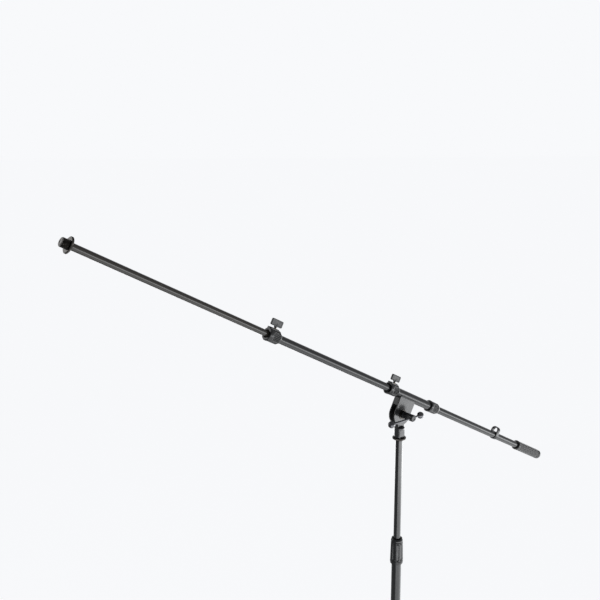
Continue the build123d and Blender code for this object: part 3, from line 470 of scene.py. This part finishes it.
def casting(name, colour):
    """Enamelled zinc casting: soft skin texture and pits."""
    shader = Shader(name, colour, 0.24, coat=0.2, coat_roughness=0.2)
    shader.vary_roughness(shader.noise(60, 4), 0.08)
    shader.tint(shader.noise(110, 5, 0.7), [c * 1.8 + 0.01 for c in colour], 0.5, 0.8)
    shader.bump(shader.noise(500, 4, 0.6), 0.03 * MM)
    shader.bump(shader.cells(260), 0.02 * MM, 0.4)
    return shader.material


def pressed_fibre(name, colour):
    """Matt washer board with long fibres."""
    shader = Shader(name, colour, 0.85)
    shader.tint(shader.noise(1.0, 4, 0.7, shader.stretch((900, 120, 900))), [c * 0.5 for c in colour])
    shader.bump(shader.noise(1400, 4, 0.7), 0.08 * MM)
    return shader.material


MATERIALS = {
    "powder_coat": coated_steel("powder_coat", (0.010, 0.0102, 0.0115), 0.2),
    "boom_coat": coated_steel("boom_coat", (0.0085, 0.0086, 0.0095), 0.15),
    "tip_coat": coated_steel("tip_coat", (0.017, 0.0145, 0.012), 0.18),
    "sleeve_coat": coated_steel("sleeve_coat", (0.011, 0.0112, 0.012), 0.24),
    "clamp_plastic": moulded_plastic("clamp_plastic", (0.0105, 0.0105, 0.0115), 0.22),
    "knob_plastic": moulded_plastic("knob_plastic", (0.05, 0.0505, 0.052), 0.42),
    "inner_plastic": moulded_plastic("inner_plastic", (0.72, 0.71, 0.66), 0.45),
    "black_oxide": plated_steel("black_oxide", (0.055, 0.051, 0.047), 0.3),
    "zinc": plated_steel("zinc", (0.62, 0.62, 0.63), 0.3),
    "brass_insert": plated_steel("brass_insert", (0.6, 0.44, 0.2), 0.28),
    "black_chrome": black_chrome("black_chrome", (0.09, 0.09, 0.098)),
    "cast_black": casting("cast_black", (0.012, 0.0122, 0.0135)),
    "rubber": rubber("rubber", (0.022, 0.022, 0.0225)),
    "fibre": pressed_fibre("fibre", (0.24, 0.12, 0.06)),
}

for node, obj in frame["nodes"].items():
    obj.data.materials.clear()
    obj.data.materials.append(MATERIALS[SLOT_OF[node]])
    obj.data.shade_smooth()
    obj.data.set_sharp_from_angle(angle=math.radians(30))

# ------------------------------------------------------------------ clamps and collars


CLAMP_RIM = 12.9 * MM
CLAMP_BODY = 12.3 * MM
COLLAR_BODY = 12.5 * MM
BODY_TAPER = 0.3 * MM         # loss of radius along a clamp's or collar's body
RIB_COUNT = 26                # ribs in a full turn
RIB_GAP = math.radians(42)    # half of the plain strip under the knob's boss
BOSS_TOP = 14.8 * MM
BOSS_WIDTH = 11.2 * MM
INSERT_BORE = 2.9 * MM
INSERT_RADIUS = 3.9 * MM
PADDLE_THICKNESS = 5.0 * MM
PADDLE_CORNER = 2.8 * MM
SHANK_RADIUS = 2.4 * MM


def tapered_rows(radius, start, length, steps):
    """Outline points of a body that narrows slightly along its length."""
    return [(radius - BODY_TAPER * k / steps, start + length * k / steps) for k in range(steps + 1)]


def clamp_piece(name, node, tube_radius, knob_node, nut_node):
    """Moulded clamp: rim, dark mouth, ribbed body, and a boss with a ramp behind its knob."""
    front, rear = BOOM.span(node)
    body = tapered_rows(CLAMP_BODY, front + 7 * MM, rear - front - 10.5 * MM, 14)
    outline = [
        (tube_radius + 0.35 * MM, front + 2.4 * MM), (tube_radius + 2.2 * MM, front),
        (CLAMP_RIM - 0.9 * MM, front), (CLAMP_RIM, front + 1.0 * MM), (CLAMP_RIM, front + 5.6 * MM),
        (CLAMP_BODY, front + 6.4 * MM), *body, (CLAMP_BODY - 1.9 * MM, rear), (tube_radius + 0.3 * MM, rear),
    ]
    grooves = ribs(RIB_COUNT, 1.1 * MM, RIB_GAP, 2 * math.pi - RIB_GAP, front + 9 * MM, rear - 4 * MM)
    lathe(name, BOOM, outline, node, (node,), segments=208, soften=0.35 * MM, ripple=grooves)
    knob = BOOM.span(knob_node)
    middle = (knob[0] + knob[1]) / 2
    ramp = [
        (10.4 * MM, front), (BOSS_TOP, front), (BOSS_TOP, middle + 6.0 * MM),
        (11.7 * MM, rear - 2.6 * MM), (10.4 * MM, rear - 2.6 * MM),
    ]
    prism(name + "_boss", BOOM, rounded([Vector(p) for p in ramp], 1.2 * MM, 5), BOSS_WIDTH, node,
          bevel=1.0 * MM)
    spot = Place(BOOM.point(0, 0, middle), BOOM_UP, -BOOM_DIR)
    low, high = BOSS_TOP - 3 * MM, BOSS_TOP + 0.35 * MM
    lathe(name + "_insert", spot, [(INSERT_BORE, low), (INSERT_RADIUS, low), (INSERT_RADIUS, high),
          (INSERT_BORE, high)], nut_node, (nut_node,), segments=48, soften=0.2 * MM)


def knob_piece(prefix):
    """Thumb knob: dished paddle with rounded edges on a threaded shank with a small collar."""
    node, screw = prefix + "_knob", prefix + "_knob_screw"
    low, high = BOOM.span(node)
    foot, top = BOOM.span(node, BOOM_UP)
    outline = rounded_rectangle(foot, top, low, high, PADDLE_CORNER)
    prism(prefix + "_knob_paddle", BOOM, outline, PADDLE_THICKNESS, node, (node,), bevel=1.1 * MM,
          dish=0.45 * MM)
    middle = (low + high) / 2
    shank = Place(BOOM.point(0, 0, middle), BOOM_UP, -BOOM_DIR)
    start, end = shank.span(screw)
    threaded(prefix + "_knob_shank", shank.at(start), end - start, SHANK_RADIUS, 0.8 * MM, 0.42 * MM,
             screw, (screw,), per_turn=28, tip=0.4 * MM)
    lathe(prefix + "_knob_root", shank, [(0, foot - 1.6 * MM), (3.1 * MM, foot - 1.6 * MM),
          (3.5 * MM, foot + 0.6 * MM), (0, foot + 0.6 * MM)], node, segments=40, soften=0.4 * MM)


def rear_collar_piece():
    """Ribbed collar at the sleeve's rear end."""
    front, rear = BOOM.span("rear_collar")
    body = tapered_rows(COLLAR_BODY, front + 5.5 * MM, rear - front - 11 * MM, 10)
    outline = [
        (9.5 * MM, front), (12.2 * MM, front), (13.0 * MM, front + 0.9 * MM), (13.0 * MM, front + 4.4 * MM),
        *body, (10.5 * MM, rear), (TUBE_RADIUS + 0.35 * MM, rear), (9.5 * MM, rear - 3 * MM),
    ]
    grooves = ribs(RIB_COUNT, 1.05 * MM, 0, 2 * math.pi, front + 7 * MM, rear - 6 * MM)
    lathe("rear_collar_shell", BOOM, outline, "rear_collar", ("rear_collar",), segments=208,
          soften=0.35 * MM, ripple=grooves)


clamp_piece("sleeve_clamp_shell", "sleeve_clamp", TUBE_RADIUS, "sleeve_knob", "sleeve_clamp_nut")
clamp_piece("boom_clamp_shell", "boom_clamp", TIP_TUBE_RADIUS, "boom_knob", "boom_clamp_nut")
knob_piece("sleeve")
knob_piece("boom")
rear_collar_piece()

# ------------------------------------------------------------------ tip


THREAD_PITCH = 25.4 / 27 * MM
THREAD_DEPTH = 0.5 * MM


def tip_pieces():
    """Microphone thread, 5/8 inch with 27 threads per inch, and the knurled disc behind it."""
    start = BOOM.span("mic_thread")[0]
    front, rear = BOOM.span("mic_flange")
    outer = BOOM.radius("mic_flange")
    threaded("mic_thread_helix", BOOM.at(start), front - start + 0.4 * MM, BOOM.radius("mic_thread"),
             THREAD_PITCH, THREAD_DEPTH, "mic_thread", ("mic_thread",), per_turn=96)
    socket = [
        (0, -0.05 * MM), (3.1 * MM, -0.05 * MM), (3.5 * MM, -0.35 * MM), (5.4 * MM, -0.35 * MM),
        (5.8 * MM, 0.3 * MM), (0, 0.3 * MM),
    ]
    lathe("mic_thread_socket", BOOM.at(start), socket, "mic_thread", segments=64, soften=0.2 * MM)
    lathe("mic_flange_disc", BOOM, [(4.9 * MM, front), (outer - 1.2 * MM, front), (outer, front + 0.8 * MM),
          (outer, rear - 0.8 * MM), (outer - 1.2 * MM, rear), (7.2 * MM, rear), (6.9 * MM, rear + 1.6 * MM),
          (6.05 * MM, rear + 2.2 * MM), (4.9 * MM, rear + 2.2 * MM)], "mic_flange", ("mic_flange",),
          segments=240, soften=0.35 * MM, ripple=knurl(60, 0.3 * MM, outer - 0.7 * MM))


tip_pieces()

# ------------------------------------------------------------------ clutch


GRIP_FOOT_RADIUS = 14.5 * MM
GRIP_WAIST_RADIUS = 13.5 * MM
SCOOP_DEPTH = 2.1 * MM


def clutch_pieces():
    """Twist grip with ten scoops, a stepped foot ring and a lip around the shaft."""
    foot, top = UPRIGHT.span("clutch_grip")

    def taper(height):
        share = (height - foot - 5 * MM) / (top - foot - 12 * MM)
        return GRIP_FOOT_RADIUS - (GRIP_FOOT_RADIUS - GRIP_WAIST_RADIUS) * max(0.0, share)

    outline = [
        (12.9 * MM, foot), (14.4 * MM, foot), (14.7 * MM, foot + 0.8 * MM), (14.7 * MM, foot + 3.2 * MM),
        (14.1 * MM, foot + 3.9 * MM), (14.4 * MM, foot + 4.6 * MM),
        *rows(foot + 5 * MM, top - 8 * MM, 0.8 * MM, taper),
        (13.0 * MM, top - 6.8 * MM), (13.5 * MM, top - 6.0 * MM), (13.4 * MM, top - 3.5 * MM),
        (12.0 * MM, top), (9.2 * MM, top), (8.6 * MM, top - 1.6 * MM), (8.6 * MM, top - 6 * MM),
        (12.9 * MM, top - 12 * MM),
    ]
    scoops = flutes(10, SCOOP_DEPTH, 0.74, foot + 6 * MM, top - 9 * MM, 5 * MM, 13 * MM)
    lathe("clutch_grip_shell", UPRIGHT, outline, "clutch_grip", ("clutch_grip",), segments=280,
          soften=0.25 * MM, ripple=scoops, sharp=50)
    start = UPRIGHT.span("clutch_body")[0]
    lathe("clutch_body_ring", UPRIGHT, [(11 * MM, start - 1.2 * MM), (11.8 * MM, start - 1.2 * MM),
          (14.0 * MM, start), (14.3 * MM, start + 0.6 * MM), (14.3 * MM, start + 2.2 * MM),
          (13.8 * MM, start + 2.6 * MM), (11 * MM, start + 2.6 * MM)], "clutch_body", segments=160,
          soften=0.3 * MM, ripple=knurl(40, 0.25 * MM, 14.1 * MM))


clutch_pieces()

# ------------------------------------------------------------------ tilt joint


SOCKET_RADIUS = 11.4 * MM
SOCKET_BORE = 7.9 * MM
FLAT_DISTANCE = 8.9 * MM
TONGUE_REACH = 31 * MM        # from the pivot down into the socket
TONGUE_RADIUS = 11 * MM
TONGUE_THICKNESS = 9 * MM
PLATE_RADIUS = 25 * MM
PLATE_TOP = 34.6 * MM         # from the pivot up to the sleeve
PLATE_OFFSET = 7.25 * MM      # from the boom's plane to the middle of a plate
PLATE_THICKNESS = 2.5 * MM
WELD_DROP = -4.6 * MM
WELD_OFFSET = 8.7 * MM
WELD_RADIUS = 1.25 * MM


def arc_points(radius, first, last, step, centre=0.0):
    """Points (up, along) of an arc, by angle in whole degrees."""
    return [(centre + radius * math.cos(math.radians(d)), radius * math.sin(math.radians(d)))
            for d in range(first, last, step)]


def knuckle_pieces():
    """Cast socket with two flats, ending in the tongue between the bracket plates."""
    foot = UPRIGHT.span("lock_ring")[1]
    shoulder = PIVOT.z - 30 * MM
    outline = [
        (SOCKET_BORE, foot), (SOCKET_RADIUS - 0.6 * MM, foot), (SOCKET_RADIUS, foot + 0.7 * MM),
        *rows(foot + 2.6 * MM, shoulder - 2.2 * MM, 1.2 * MM, lambda height: SOCKET_RADIUS),
        (SOCKET_RADIUS - 2.4 * MM, shoulder + 0.6 * MM), (0, shoulder + 1.2 * MM), (0, foot + 14 * MM),
        (SOCKET_BORE, foot + 14 * MM),
    ]
    lathe("knuckle_socket", UPRIGHT, outline, "tilt_knuckle", ("tilt_knuckle",), segments=144,
          soften=0.6 * MM, ripple=flats(FLAT_DISTANCE, foot + 1.5 * MM, foot + 17.5 * MM), sharp=28)
    face = Place((0, 0, PIVOT.z), (1, 0, 0), (0, 0, 1))
    end = arc_points(TONGUE_RADIUS, -125, 126, 10)
    tongue = [(-TONGUE_REACH, -9 * MM), *end, (-TONGUE_REACH, 9 * MM)]
    prism("knuckle_tongue", face, tongue, TONGUE_THICKNESS, "tilt_knuckle", bevel=0.5 * MM)
    low, high = UPRIGHT.span("lock_ring")
    outer = UPRIGHT.radius("lock_ring")
    lathe("lock_ring_knurled", UPRIGHT, [(8.02 * MM, low), (outer - 1.0 * MM, low), (outer, low + 0.7 * MM),
          (outer, high - 0.7 * MM), (outer - 1.0 * MM, high), (8.02 * MM, high)], "lock_ring", ("lock_ring",),
          segments=288, soften=0.25 * MM, ripple=knurl(72, 0.35 * MM, outer - 0.6 * MM))
    lathe("shaft_stop", UPRIGHT, [(7.95 * MM, low - 3.2 * MM), (9.2 * MM, low - 3.2 * MM),
          (9.5 * MM, low - 2.6 * MM), (9.5 * MM, low - 0.4 * MM), (7.95 * MM, low - 0.4 * MM)], "lock_ring",
          segments=72, soften=0.25 * MM)


def bracket_pieces():
    """Pressed side plates with rolled edges, and the weld along the sleeve above each."""
    end = arc_points(PLATE_RADIUS, -90, -271, -6)
    outline = [(PLATE_TOP, -PLATE_RADIUS), *end, (PLATE_TOP, PLATE_RADIUS)]

    def bead(along):
        return WELD_RADIUS + 0.3 * MM * abs(math.sin(math.pi * along / (2.4 * MM)))

    beads = rows(-PLATE_RADIUS + 0.5 * MM, PLATE_RADIUS - 0.5 * MM, 0.4 * MM, bead)
    for name, side in (("near", 1), ("far", -1)):
        face = Place(PIVOT + NEAR * side * PLATE_OFFSET, BOOM_DIR, BOOM_UP)
        node = "bracket_plate_" + name
        prism(node + "_pressing", face, outline, PLATE_THICKNESS, node, (node,), bevel=0.8 * MM)
        weld = Place(BOOM.point(WELD_DROP, side * WELD_OFFSET, 0), BOOM_DIR, BOOM_UP)
        lathe(node + "_weld", weld, [(0, -PLATE_RADIUS), *beads, (0, PLATE_RADIUS)], node, segments=20,
              soften=0)


def pivot_pieces():
    """Nut on the far side, and the knob-like hub of the tilt handle on the near side."""
    low, high = TILT.span("pivot_nut")
    lathe("pivot_nut_hex", TILT, [(4 * MM, low), (6.3 * MM, low), (7.5 * MM, low + 1.2 * MM),
          (7.5 * MM, high), (4 * MM, high)], "pivot_nut", ("pivot_nut",), segments=96, soften=0.2 * MM,
          ripple=hexagon(6.5 * MM), sharp=24)
    start, end = TILT.span("handle_hub")
    body = rows(start + 3.4 * MM, end - 9.5 * MM, 1.0 * MM, lambda height: 7.3 * MM)
    outline = [
        (4.1 * MM, start), (7.2 * MM, start), (7.6 * MM, start + 0.8 * MM), (7.6 * MM, start + 2.6 * MM),
        *body, (7.5 * MM, end - 8.6 * MM), (7.5 * MM, end - 2.4 * MM), (6.2 * MM, end),
        (3.6 * MM, end), (3.2 * MM, end - 0.7 * MM), (0, end - 0.7 * MM), (0, start + 18 * MM),
        (4.1 * MM, start + 18 * MM),
    ]
    ribbed = flutes(12, 0.7 * MM, 0.7, start + 3.6 * MM, end - 9.6 * MM, 2 * MM, 6.8 * MM)
    lathe("handle_hub_shell", TILT, outline, "handle_hub", ("handle_hub",), segments=192, soften=0.4 * MM,
          ripple=ribbed)


def ball_pieces():
    """Polished end balls, each with a short neck where the bar enters."""
    bar = Place(JOINTS["tilt_handle_turn"]["pos_m"], (1, 0, 0), (0, 0, 1))
    low, high = bar.span("handle_balls")
    radius = bar.radius("handle_balls")
    for name, centre, towards in (("long", low + radius, 1), ("short", high - radius, -1)):
        place = Place(bar.point(0, 0, centre), (towards, 0, 0), (0, 0, 1))
        ball = [(along, -up) for up, along in arc_points(radius, 0, 152, 6)]
        neck = [(3.3 * MM, 7.3 * MM), (2.9 * MM, 7.6 * MM), (0, 7.6 * MM)]
        replaced = ("handle_balls",) if name == "long" else ()
        lathe("handle_ball_" + name, place, [*ball, *neck], "handle_balls", replaced, segments=72, soften=0)


knuckle_pieces()
bracket_pieces()
pivot_pieces()
ball_pieces()

# ------------------------------------------------------------------ rear of the boom


GRIP_RADIUS = 11.3 * MM
GRIP_LIP = 11.8 * MM
GRIP_BORE = 8.05 * MM
CLIP_WALL = 2.2 * MM
CLIP_STEP = 6                 # degrees between points of the clip's outlines


def grip_piece():
    """Ribbed rubber grip with a raised front lip and a domed end."""
    front, rear = BOOM.span("boom_grip")
    body = rows(front + 5.5 * MM, rear - 5 * MM, 1.5 * MM, lambda along: GRIP_RADIUS)
    outline = [
        (GRIP_BORE, front), (11.1 * MM, front), (GRIP_LIP, front + 0.8 * MM), (GRIP_LIP, front + 3.2 * MM),
        (11.1 * MM, front + 4.2 * MM), *body, (11.2 * MM, rear - 3 * MM), (10.0 * MM, rear - 0.9 * MM),
        (7.6 * MM, rear), (3.0 * MM, rear - 0.1 * MM), (2.6 * MM, rear - 0.8 * MM), (0, rear - 0.8 * MM),
        (0, rear - 2.9 * MM), (GRIP_BORE, rear - 2.9 * MM),
    ]
    ribbed = flutes(14, 1.35 * MM, 0.62, front + 6.5 * MM, rear - 6 * MM, 4 * MM, 11 * MM)
    lathe("boom_grip_rubber", BOOM, outline, "boom_grip", ("boom_grip",), segments=252, soften=0.4 * MM,
          ripple=ribbed)


def clip_piece():
    """Sprung cable clip: a ring round the tube with a closed loop above it."""
    start, end = BOOM.span("cable_clip")
    foot, top = BOOM.span("cable_clip", BOOM_UP)
    outer = -foot
    centre = top - outer
    inside = outer - CLIP_WALL
    loop = arc_points(outer, -90, 91, CLIP_STEP, centre)
    ring = arc_points(outer, 90, 270, CLIP_STEP)
    bore = arc_points(TUBE_RADIUS + 0.07 * MM, 0, 355, CLIP_STEP)
    meeting = math.degrees(math.asin(inside / (outer + 0.1 * MM)))
    reach = round(meeting / CLIP_STEP) * CLIP_STEP - CLIP_STEP
    saddle = arc_points(outer, reach, -reach - 1, -CLIP_STEP)
    void = [*arc_points(inside, -90, 91, CLIP_STEP, centre), *saddle]
    cut_plate("cable_clip_loop", BOOM.at(start), [[*loop, *ring], bore, void], end - start, "cable_clip",
              ("cable_clip",), bevel=0.6 * MM)


grip_piece()
clip_piece()

# ------------------------------------------------------------------ tripod

FOOT_CENTRE = 9.6 * MM        # ankle above the floor
FOOT_RADIUS = 10.5 * MM
FOOT_BORE = 8.05 * MM
FOOT_RING_PITCH = 4.2 * MM
MOUNTS = {mount["name"]: mount for mount in frame["record"]["mounts"]}


def foot_piece(leg):
    """Ringed rubber foot, flat where it stands."""
    hinge = JOINTS[f"leg_{leg}_fold"]
    ankle = Vector(MOUNTS[f"foot_{leg}_face"]["pos_m"]) + Vector((0, 0, FOOT_CENTRE))
    place = Place(hinge["pos_m"], ankle - Vector(hinge["pos_m"]), hinge["axis"])
    start = place.span(f"foot_{leg}")[0]
    centre = (ankle - place.origin).length

    def rings(along):
        wave = 0.5 + 0.5 * math.cos(2 * math.pi * (along - start) / FOOT_RING_PITCH)
        return FOOT_RADIUS - 0.55 * MM * wave

    dome = [(out, centre + along) for out, along in arc_points(FOOT_RADIUS, 0, 90, 9)]
    outline = [(FOOT_BORE, start), (9.2 * MM, start), (9.9 * MM, start + 1.0 * MM),
               *rows(start + 2 * MM, centre - 6 * MM, 0.6 * MM, rings), *dome,
               (0, centre + FOOT_RADIUS), (0, centre - 4 * MM), (FOOT_BORE, centre - 4 * MM)]
    node = f"foot_{leg}"
    foot = lathe(node + "_rubber", place, outline, node, (node,), segments=72, soften=0.25 * MM)
    for vertex in foot.data.vertices:
        vertex.co.z = max(vertex.co.z, 0.0)


def collar_knob_piece():
    """Five-lobed knob that tightens the sliding collar."""
    joint = JOINTS["collar_knob_turn"]
    place = Place(joint["pos_m"], joint["axis"], (0, 0, 1))
    low, high = place.span("collar_knob")
    outer = place.radius("collar_knob")

    def lobes(angle, radius, along):
        if radius < 7 * MM:
            return radius
        return radius - 1.5 * MM * (0.5 - 0.5 * math.cos(5 * angle))

    outline = [(3.1 * MM, low), (6.2 * MM, low), (6.4 * MM, high - 9 * MM), (outer - 1 * MM, high - 8 * MM),
               (outer, high - 7 * MM), (outer, high - 1.6 * MM), (outer - 1.8 * MM, high),
               (4 * MM, high - 0.2 * MM), (3.6 * MM, high - 0.9 * MM), (0, high - 0.9 * MM),
               (0, low + 3 * MM), (3.1 * MM, low + 3 * MM)]
    lathe("collar_knob_lobed", place, outline, "collar_knob", ("collar_knob",), segments=120,
          soften=0.8 * MM, ripple=lobes)


for leg in "abc":
    foot_piece(leg)
collar_knob_piece()

# ------------------------------------------------------------------ camera, floor and light

CAMERA_HEADING = 38.08        # degrees from +Y towards +X
CAMERA_PITCH = 12.41          # degrees downwards
CAMERA_ROLL = -0.37
CAMERA_OFFSET = Vector((-1.1347, -1.1006, 0.5515))   # from where the boom crosses the upright
CAMERA_LENS = 45.95
SENSOR_WIDTH = 36
FLOOR_HALF_SIZE = 80.0
BACKGROUND = (0.939, 0.947, 0.965)
FLOOR_GLOW = 0.972
BAND_STRENGTH = 5.8
DIM_STRENGTH = 0.3
# Each pale band: the direction it lies in, the dot products where it begins and is full, its share.
BAND_LOBES = (((0.30, -0.80, -0.50), 0.33, 0.52, 1.0), ((0.71, 0.71, 0.0), 0.6, 0.85, 0.7))
# Brightness of a band by height: 0 is straight down, 0.5 level and 1 straight up.
BAND_HEIGHTS = (
    (0.0, 0.2), (0.2, 0.2), (0.275, 0.45), (0.295, 1.0),
    (0.316, 1.0), (0.335, 0.5), (0.44, 0.08), (0.5, 0.03),
)


def make_camera():
    """Camera at the height and distance that the boom's foreshortening gives."""
    crossing = UPRIGHT.point(0, 0, PIVOT.z + BOOM_RISE / BOOM_UP.z)
    data = bpy.data.cameras.new("camera")
    data.lens = CAMERA_LENS
    data.sensor_width = SENSOR_WIDTH
    data.clip_end = 50
    camera = bpy.data.objects.new("camera", data)
    bpy.context.scene.collection.objects.link(camera)
    turn = Matrix.Rotation(math.radians(-CAMERA_HEADING), 4, "Z")
    tip = Matrix.Rotation(math.radians(90 - CAMERA_PITCH), 4, "X")
    roll = Matrix.Rotation(math.radians(CAMERA_ROLL), 4, "Z")
    camera.matrix_world = Matrix.Translation(crossing + CAMERA_OFFSET) @ turn @ tip @ roll
    bpy.context.scene.camera = camera


def make_floor():
    """Pale seamless floor that meets the background at the same brightness."""
    half = FLOOR_HALF_SIZE
    mesh = bpy.data.meshes.new("floor")
    corners = [(-half, -half, 0), (half, -half, 0), (half, half, 0), (-half, half, 0)]
    mesh.from_pydata(corners, [], [(0, 1, 2, 3)])
    floor = bpy.data.objects.new("floor", mesh)
    bpy.context.scene.collection.objects.link(floor)
    shader = Shader("floor_paint", (0.06, 0.061, 0.062), 0.9, specular=0.0)
    shader.surface.inputs["Emission Color"].default_value = (*BACKGROUND, 1)
    shader.surface.inputs["Emission Strength"].default_value = FLOOR_GLOW
    shader.vary_roughness(shader.noise(6, 3), 0.05)
    shader.material.cycles.emission_sampling = "NONE"
    mesh.materials.append(shader.material)
    floor.visible_glossy = False
    floor.visible_diffuse = False
    floor.visible_shadow = False


def area_light(name, place, target, size, power):
    """Rectangular light aimed at a point and hidden from the camera."""
    data = bpy.data.lights.new(name, "AREA")
    data.shape = "RECTANGLE"
    data.size, data.size_y = size
    data.energy = power
    light = bpy.data.objects.new(name, data)
    light.visible_camera = False
    light.location = place
    light.rotation_euler = (Vector(target) - Vector(place)).to_track_quat("-Z", "Y").to_euler()
    bpy.context.scene.collection.objects.link(light)


def make_world():
    """Studio: even behind the object, and dim around it but for two pale bands low down."""
    world = bpy.data.worlds.new("studio")
    world.use_nodes = True
    nodes, links = world.node_tree.nodes, world.node_tree.links
    direction = nodes.new("ShaderNodeTexCoord").outputs["Generated"]
    lobes = []
    for axis, low, high, share in BAND_LOBES:
        facing = nodes.new("ShaderNodeVectorMath")
        facing.operation = "DOT_PRODUCT"
        facing.inputs[1].default_value = axis
        links.new(direction, facing.inputs[0])
        side = nodes.new("ShaderNodeMapRange")
        side.interpolation_type = "SMOOTHSTEP"
        side.inputs["From Min"].default_value = low
        side.inputs["From Max"].default_value = high
        side.inputs["To Max"].default_value = share
        links.new(facing.outputs["Value"], side.inputs["Value"])
        lobes.append(side.outputs["Result"])
    both = nodes.new("ShaderNodeMath")
    both.operation = "MAXIMUM"
    links.new(lobes[0], both.inputs[0])
    links.new(lobes[1], both.inputs[1])
    height = nodes.new("ShaderNodeSeparateXYZ")
    links.new(direction, height.inputs[0])
    level = nodes.new("ShaderNodeMapRange")
    level.inputs["From Min"].default_value = -1
    links.new(height.outputs["Z"], level.inputs["Value"])
    ramp = nodes.new("ShaderNodeValToRGB")
    while len(ramp.color_ramp.elements) < len(BAND_HEIGHTS):
        ramp.color_ramp.elements.new(1.0)
    for stop, (place, grey) in zip(ramp.color_ramp.elements, BAND_HEIGHTS):
        stop.position = place
        stop.color = (grey, grey, grey, 1)
    links.new(level.outputs["Result"], ramp.inputs["Fac"])
    product = nodes.new("ShaderNodeMath")
    product.operation = "MULTIPLY"
    links.new(both.outputs["Value"], product.inputs[0])
    links.new(ramp.outputs["Color"], product.inputs[1])
    strength = nodes.new("ShaderNodeMath")
    strength.operation = "MULTIPLY_ADD"
    strength.inputs[1].default_value = BAND_STRENGTH
    strength.inputs[2].default_value = DIM_STRENGTH
    links.new(product.outputs["Value"], strength.inputs[0])
    around = nodes["Background"]
    around.inputs["Color"].default_value = (0.97, 0.985, 1.0, 1)
    links.new(strength.outputs["Value"], around.inputs["Strength"])
    behind = nodes.new("ShaderNodeBackground")
    behind.inputs["Color"].default_value = (*BACKGROUND, 1)
    choose = nodes.new("ShaderNodeMixShader")
    links.new(nodes.new("ShaderNodeLightPath").outputs["Is Camera Ray"], choose.inputs["Fac"])
    links.new(around.outputs["Background"], choose.inputs[1])
    links.new(behind.outputs["Background"], choose.inputs[2])
    links.new(choose.outputs["Shader"], nodes["World Output"].inputs["Surface"])
    bpy.context.scene.world = world


make_camera()
make_floor()
make_world()
area_light("back", (-1.2, 1.6, 1.6), (0, 0, 1.0), (0.5, 1.6), 5)
bpy.context.scene.view_settings.view_transform = "Standard"
